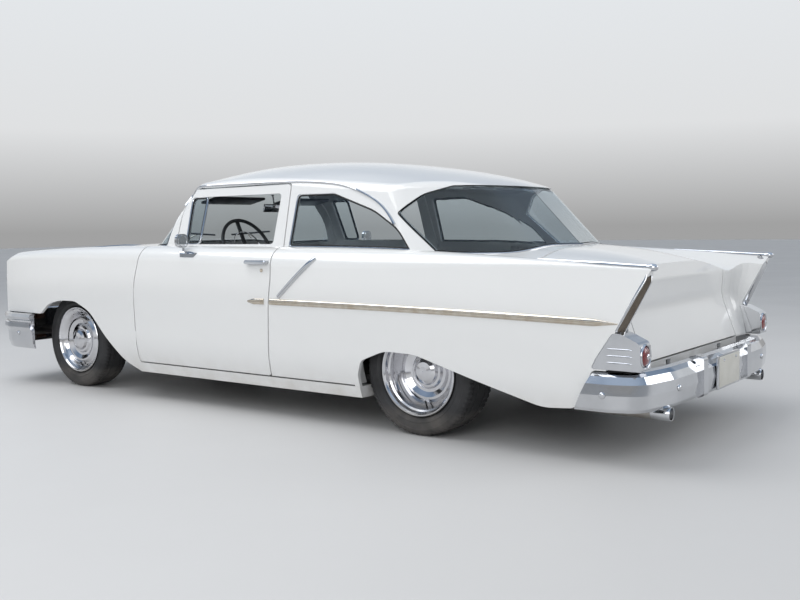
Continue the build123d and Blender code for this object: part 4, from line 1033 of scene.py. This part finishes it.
class CabinOperator(bpy.types.Operator):
    """Adds the horn ring, dials, dash strips, sun visors and the inside mirror"""
    bl_idname = "sedan.cabin"
    bl_label = "Cabin"

    HORN_RING_OUT, HORN_RING_RADIUS, WIRE_RADIUS = 0.006, 0.115, 0.0035
    DIALS_X, DIALS_Z = (0.25, 0.38, 0.51), 0.872
    DIAL_FACING = (0, 1, 0.1)
    RADIO_BARS, RADIO_Z, RADIO_PITCH = 5, 0.838, 0.014
    DASH_STEP, DASH_BEAD = 0.02, 0.005
    VISOR_TILT, MIRROR_TILT = 12, -12

    def execute(self, context):
        low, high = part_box("steering_wheel")
        centre = (low + high) / 2
        lean = math.radians(COLUMN_LEAN)
        along = Vector((0, math.cos(lean), math.sin(lean)))
        wire = [(self.HORN_RING_OUT + a, self.HORN_RING_RADIUS + b)
                for a, b in round_section(self.WIRE_RADIUS, 8)]
        mesh_piece("horn_ring", spun(wire + wire[:1], centre, along), "chrome")
        mesh_piece("horn_cap", spun(HORN_CAP, centre, along), "chrome")
        dash = surface("dashboard")
        for i, x in enumerate(self.DIALS_X):
            place, _ = hit(dash, (x, 0, self.DIALS_Z), FORWARD)
            mesh_piece(f"dial_bezel_{i}", spun(DIAL_BEZEL, place, self.DIAL_FACING), "chrome")
            mesh_piece(f"dial_face_{i}", spun(DIAL_FACE, place, self.DIAL_FACING), "rubber seal")
        bars = [(f"radio_bar_{i}", -0.12, 13, self.RADIO_Z + self.RADIO_PITCH * i, 0.006, "chrome")
                for i in range(self.RADIO_BARS)]
        for name, start_x, count, z, width, look in bars + [
                ("dash_strip", -0.7, 71, 0.815, 0.012, "stainless")]:
            starts = [(start_x + self.DASH_STEP * k, 0, z) for k in range(count)]
            line = eased(hits(dash, starts, FORWARD), 2)
            mesh_piece(name, sweep(bead(width, self.DASH_BEAD), line), look)
        both_sides("sun_visor", lambda: slab((0.33, -0.61, 1.262), (0.44, 0.15, 0.018), 0.007,
                                             math.radians(self.VISOR_TILT)), "vinyl")
        mesh_piece("inside_mirror", slab((0, -0.56, 1.215), (0.21, 0.016, 0.055), 0.006,
                                         math.radians(self.MIRROR_TILT)), "chrome")
        mesh_piece("inside_mirror_stem", spun(MIRROR_STEM, (0, -0.562, 1.225), (0, -0.2, 1), 20),
                   "chrome")
        return {"FINISHED"}


class EngineOperator(bpy.types.Operator):
    """Dresses the engine with rocker covers, an air cleaner, a fan, a pulley and a radiator"""
    bl_idname = "sedan.engine"
    bl_label = "Engine bay"

    FAN_Z, BLADES, BLADE_PITCH, BLADE_OUT = 0.6, 5, 0.45, 0.105
    BLADE_SIZE = (0.06, 0.005, 0.13)
    PORTS, PORT_START_Y, PORT_PITCH, PORT_Z = 4, -1.84, 0.133, 0.6
    PULLEY_Z = 0.42
    RADIATOR_AHEAD, RADIATOR_FOOT = 0.15, 0.315
    RADIATOR_FINS, FIN_PITCH = 26, 0.02
    FINE_EDGE = 0.001

    def execute(self, context):
        low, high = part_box("engine_block")
        top, front = high.z, low.y
        mesh_piece("air_cleaner", spun(AIR_CLEANER, (0, -1.66, top), UP, 64), "dark trim")
        both_sides("rocker_cover", lambda: slab((0.168, -1.64, top + 0.024), (0.14, 0.52, 0.056),
                                                0.014), "chrome")
        for i in range(self.PORTS):
            port = (high.x, self.PORT_START_Y + self.PORT_PITCH * i, self.PORT_Z)
            both_sides(f"exhaust_port_{i}", lambda: spun(EXHAUST_PORT, port, LEFT, 24), "cast")
        mesh_piece("fan_hub", spun(FAN_SHAFT, (0, front, self.FAN_Z), FORWARD), "chassis")
        mesh_piece("fan_blades", self.fan(Vector((0, front - 0.052, self.FAN_Z))), "dark trim")
        mesh_piece("crank_pulley", spun(PULLEY, (0, front, self.PULLEY_Z), FORWARD), "chassis")
        self.radiator(front, top)
        return {"FINISHED"}

    def fan(self, hub):
        """Twisted blades round a hub."""
        bm = bmesh.new()
        for i in range(self.BLADES):
            blade = add_box(bm, self.BLADE_SIZE)
            bmesh.ops.rotate(bm, cent=(0, 0, 0), verts=blade,
                             matrix=Matrix.Rotation(self.BLADE_PITCH, 3, "Z"))
            bmesh.ops.translate(bm, vec=(0, 0, self.BLADE_OUT), verts=blade)
            turn = Matrix.Rotation(math.tau * i / self.BLADES, 3, "Y")
            bmesh.ops.rotate(bm, cent=(0, 0, 0), matrix=turn, verts=blade)
            bmesh.ops.translate(bm, vec=hub, verts=blade)
        bevel_all(bm, self.FINE_EDGE)
        return bm

    def radiator(self, front, top):
        """The radiator ahead of the fan, its cap, cross bar and fins, and the hose to it."""
        y, foot, head = front - self.RADIATOR_AHEAD, self.RADIATOR_FOOT, top + 0.005
        middle = (foot + head) / 2
        mesh_piece("radiator_core", slab((0, y, middle), (0.54, 0.05, head - foot), 0.006),
                   "dark trim")
        mesh_piece("radiator_tank", slab((0, y, head), (0.6, 0.07, 0.05), 0.012), "chassis")
        mesh_piece("radiator_cap", spun(RADIATOR_CAP, (0.13, y, head + 0.023), UP, 32), "chrome")
        mesh_piece("radiator_bar", slab((0, y, foot), (0.8, 0.05, 0.04), 0.006), "chassis")
        fins = bmesh.new()
        for i in range(self.RADIATOR_FINS):
            fin = add_box(fins, (0.005, 0.008, head - foot - 0.06))
            place = (self.FIN_PITCH * i - 0.25, y - 0.026, middle)
            bmesh.ops.translate(fins, vec=place, verts=fin)
        bevel_all(fins, self.FINE_EDGE)
        mesh_piece("radiator_fins", fins, "chassis")
        line = curve_through([(0.1, front + 0.06, top - 0.02), (0.105, front - 0.02, top),
                              (0.12, y + 0.06, head - 0.005), (0.13, y + 0.02, head - 0.005)],
                             6)
        hose = [(p, Vector(LEFT)) for p in line]
        mesh_piece("top_hose", sweep(round_section(0.02, 16), hose), "rubber seal")


class StudioOperator(bpy.types.Operator):
    """Sets the floor, the soft lights and the camera of the photograph's view"""
    bl_idname = "sedan.studio"
    bl_label = "Studio"

    FILL_COLOUR = (0.93, 0.96, 1.0, 1)
    BACKDROP = ((0.0, (0.36, 0.36, 0.36)), (0.1, (0.74, 0.75, 0.76)), (0.26, (0.78, 0.81, 0.84)),
                (0.46, (0.18, 0.26, 0.38)), (0.8, (0.55, 0.66, 0.82)))
    # Name, place, target, size and share of the key light's power
    LIGHTS = (("key", (2.5, -2.5, 7.0), (0, 0, 0.5), 6.0, 1),
              ("side", (7.0, 3.0, 3.5), (0, 0.5, 0.7), 4.0, 0.4),
              ("rear", (-4.0, 7.5, 4.0), (0, 1.5, 0.7), 4.0, 0.4))
    CAMERA_PLACE = (4.7809, 4.0683, 1.0663)
    CAMERA_YAW, CAMERA_PITCH, CAMERA_ROLL = -2.2122, -0.0746, -0.014
    SENSOR_WIDTH = 36

    def execute(self, context):
        settings = context.scene.sedan_studio
        self.make_floor(settings, tuple(context.scene.sedan_colours.floor))
        self.make_world(settings)
        self.make_lights(settings)
        self.make_camera(settings)
        return {"FINISHED"}

    def make_floor(self, settings, colour):
        """A wide pale floor."""
        bm = bmesh.new()
        bmesh.ops.create_grid(bm, x_segments=1, y_segments=1, size=settings.floor_size / 2)
        mesh = bpy.data.meshes.new("studio_floor")
        bm.to_mesh(mesh)
        bm.free()
        floor = bpy.data.objects.new("studio_floor", mesh)
        bpy.context.scene.collection.objects.link(floor)
        finish("floor", "pale studio floor", colour, shaded(colour, 0.97), (0.5, 0.6),
               patch_scale=0.8, grain_scale=80, bump=0.05)
        mesh.materials.append(MATERIALS["floor"])

    def make_world(self, settings):
        """Even light on the car, and a backdrop for the camera, the mirrors and the glass."""
        world = bpy.data.worlds.new("studio light")
        bpy.context.scene.world = world
        world.use_nodes = True
        tree = world.node_tree
        light = tree.nodes["Background"]
        light.inputs["Color"].default_value = self.FILL_COLOUR
        light.inputs["Strength"].default_value = settings.fill
        place = node(tree, "ShaderNodeTexCoord").outputs["Generated"]
        split = node(tree, "ShaderNodeSeparateXYZ", {"Vector": place})
        ramp = node(tree, "ShaderNodeValToRGB", {"Fac": split.outputs["Z"]})
        stops = ramp.color_ramp.elements
        for stop, (position, colour) in zip(stops, (self.BACKDROP[0], self.BACKDROP[-1])):
            stop.position = position
            stop.color = (*colour, 1)
        for position, colour in self.BACKDROP[1:-1]:
            stops.new(position).color = (*colour, 1)
        backdrop = node(tree, "ShaderNodeBackground", {"Color": ramp.outputs["Color"]})
        path = node(tree, "ShaderNodeLightPath")
        shown = path.outputs["Is Camera Ray"]
        for other in ("Is Glossy Ray", "Is Transmission Ray"):
            shown = maths(tree, "MAXIMUM", shown, path.outputs[other])
        mix = node(tree, "ShaderNodeMixShader", {0: shown, 1: light.outputs[0],
                                                 2: backdrop.outputs[0]})
        tree.links.new(mix.outputs[0], tree.nodes["World Output"].inputs["Surface"])

    def make_lights(self, settings):
        """Large soft lights from above, the side and the rear."""
        for name, place, target, size, share in self.LIGHTS:
            data = bpy.data.lights.new(name, "AREA")
            data.size = size
            data.energy = settings.key_power * share
            lamp = bpy.data.objects.new(name, data)
            lamp.location = place
            toward = Vector(target) - Vector(place)
            lamp.rotation_euler = toward.to_track_quat("-Z", "Y").to_euler()
            bpy.context.scene.collection.objects.link(lamp)

    def make_camera(self, settings):
        """The camera that took the photograph."""
        yaw, pitch, roll = self.CAMERA_YAW, self.CAMERA_PITCH, self.CAMERA_ROLL
        ahead = Vector((math.sin(yaw) * math.cos(pitch), math.cos(yaw) * math.cos(pitch),
                        math.sin(pitch)))
        level = ahead.cross(Vector(UP)).normalized()
        upright = level.cross(ahead)
        right = level * math.cos(roll) + upright * math.sin(roll)
        up = upright * math.cos(roll) - level * math.sin(roll)
        data = bpy.data.cameras.new("photo view")
        data.sensor_fit = "HORIZONTAL"
        data.sensor_width = self.SENSOR_WIDTH
        data.lens = settings.focal
        camera = bpy.data.objects.new("photo view", data)
        turn = Matrix((right, up, -ahead)).transposed().to_4x4()
        camera.matrix_world = Matrix.Translation(Vector(self.CAMERA_PLACE)) @ turn
        bpy.context.scene.collection.objects.link(camera)
        bpy.context.scene.camera = camera


PIECE_OPERATORS = (PanelsOperator, MouldingsOperator, WindowTrimOperator, FinsOperator,
                   BumpersOperator, DoorFittingsOperator, FrontOperator, TyresOperator,
                   SeatsOperator, CabinOperator, EngineOperator, StudioOperator)


class SedanPanel(bpy.types.Panel):
    """Lists the pieces of the car's dressing"""
    bl_idname = "VIEW3D_PT_sedan"
    bl_label = "Sedan dressing"
    bl_space_type = "VIEW_3D"
    bl_region_type = "UI"
    bl_category = "Sedan"

    def draw(self, context):
        for operator in PIECE_OPERATORS:
            self.layout.operator(operator.bl_idname)
        for setting, _ in SETTINGS:
            group = getattr(context.scene, setting)
            for name in group.bl_rna.properties.keys():
                if name not in ("rna_type", "name"):
                    self.layout.prop(group, name)


SETTINGS = (("sedan_colours", SedanColours), ("sedan_trim", SedanTrim),
            ("sedan_studio", SedanStudio))


def register():
    for name, group in SETTINGS:
        bpy.utils.register_class(group)
        setattr(bpy.types.Scene, name, PointerProperty(type=group))
    for piece in PIECE_OPERATORS + (SedanPanel,):
        bpy.utils.register_class(piece)


def unregister():
    for piece in PIECE_OPERATORS + (SedanPanel,):
        bpy.utils.unregister_class(piece)
    for name, group in SETTINGS:
        delattr(bpy.types.Scene, name)
        bpy.utils.unregister_class(group)


def main():
    register()
    bpy.context.scene.view_settings.view_transform = "Standard"
    for operator in PIECE_OPERATORS:
        family, name = operator.bl_idname.split(".")
        if getattr(getattr(bpy.ops, family), name)() != {"FINISHED"}:
            raise RuntimeError(f"{operator.bl_label} did not finish")


if __name__ == "__main__":
    main()
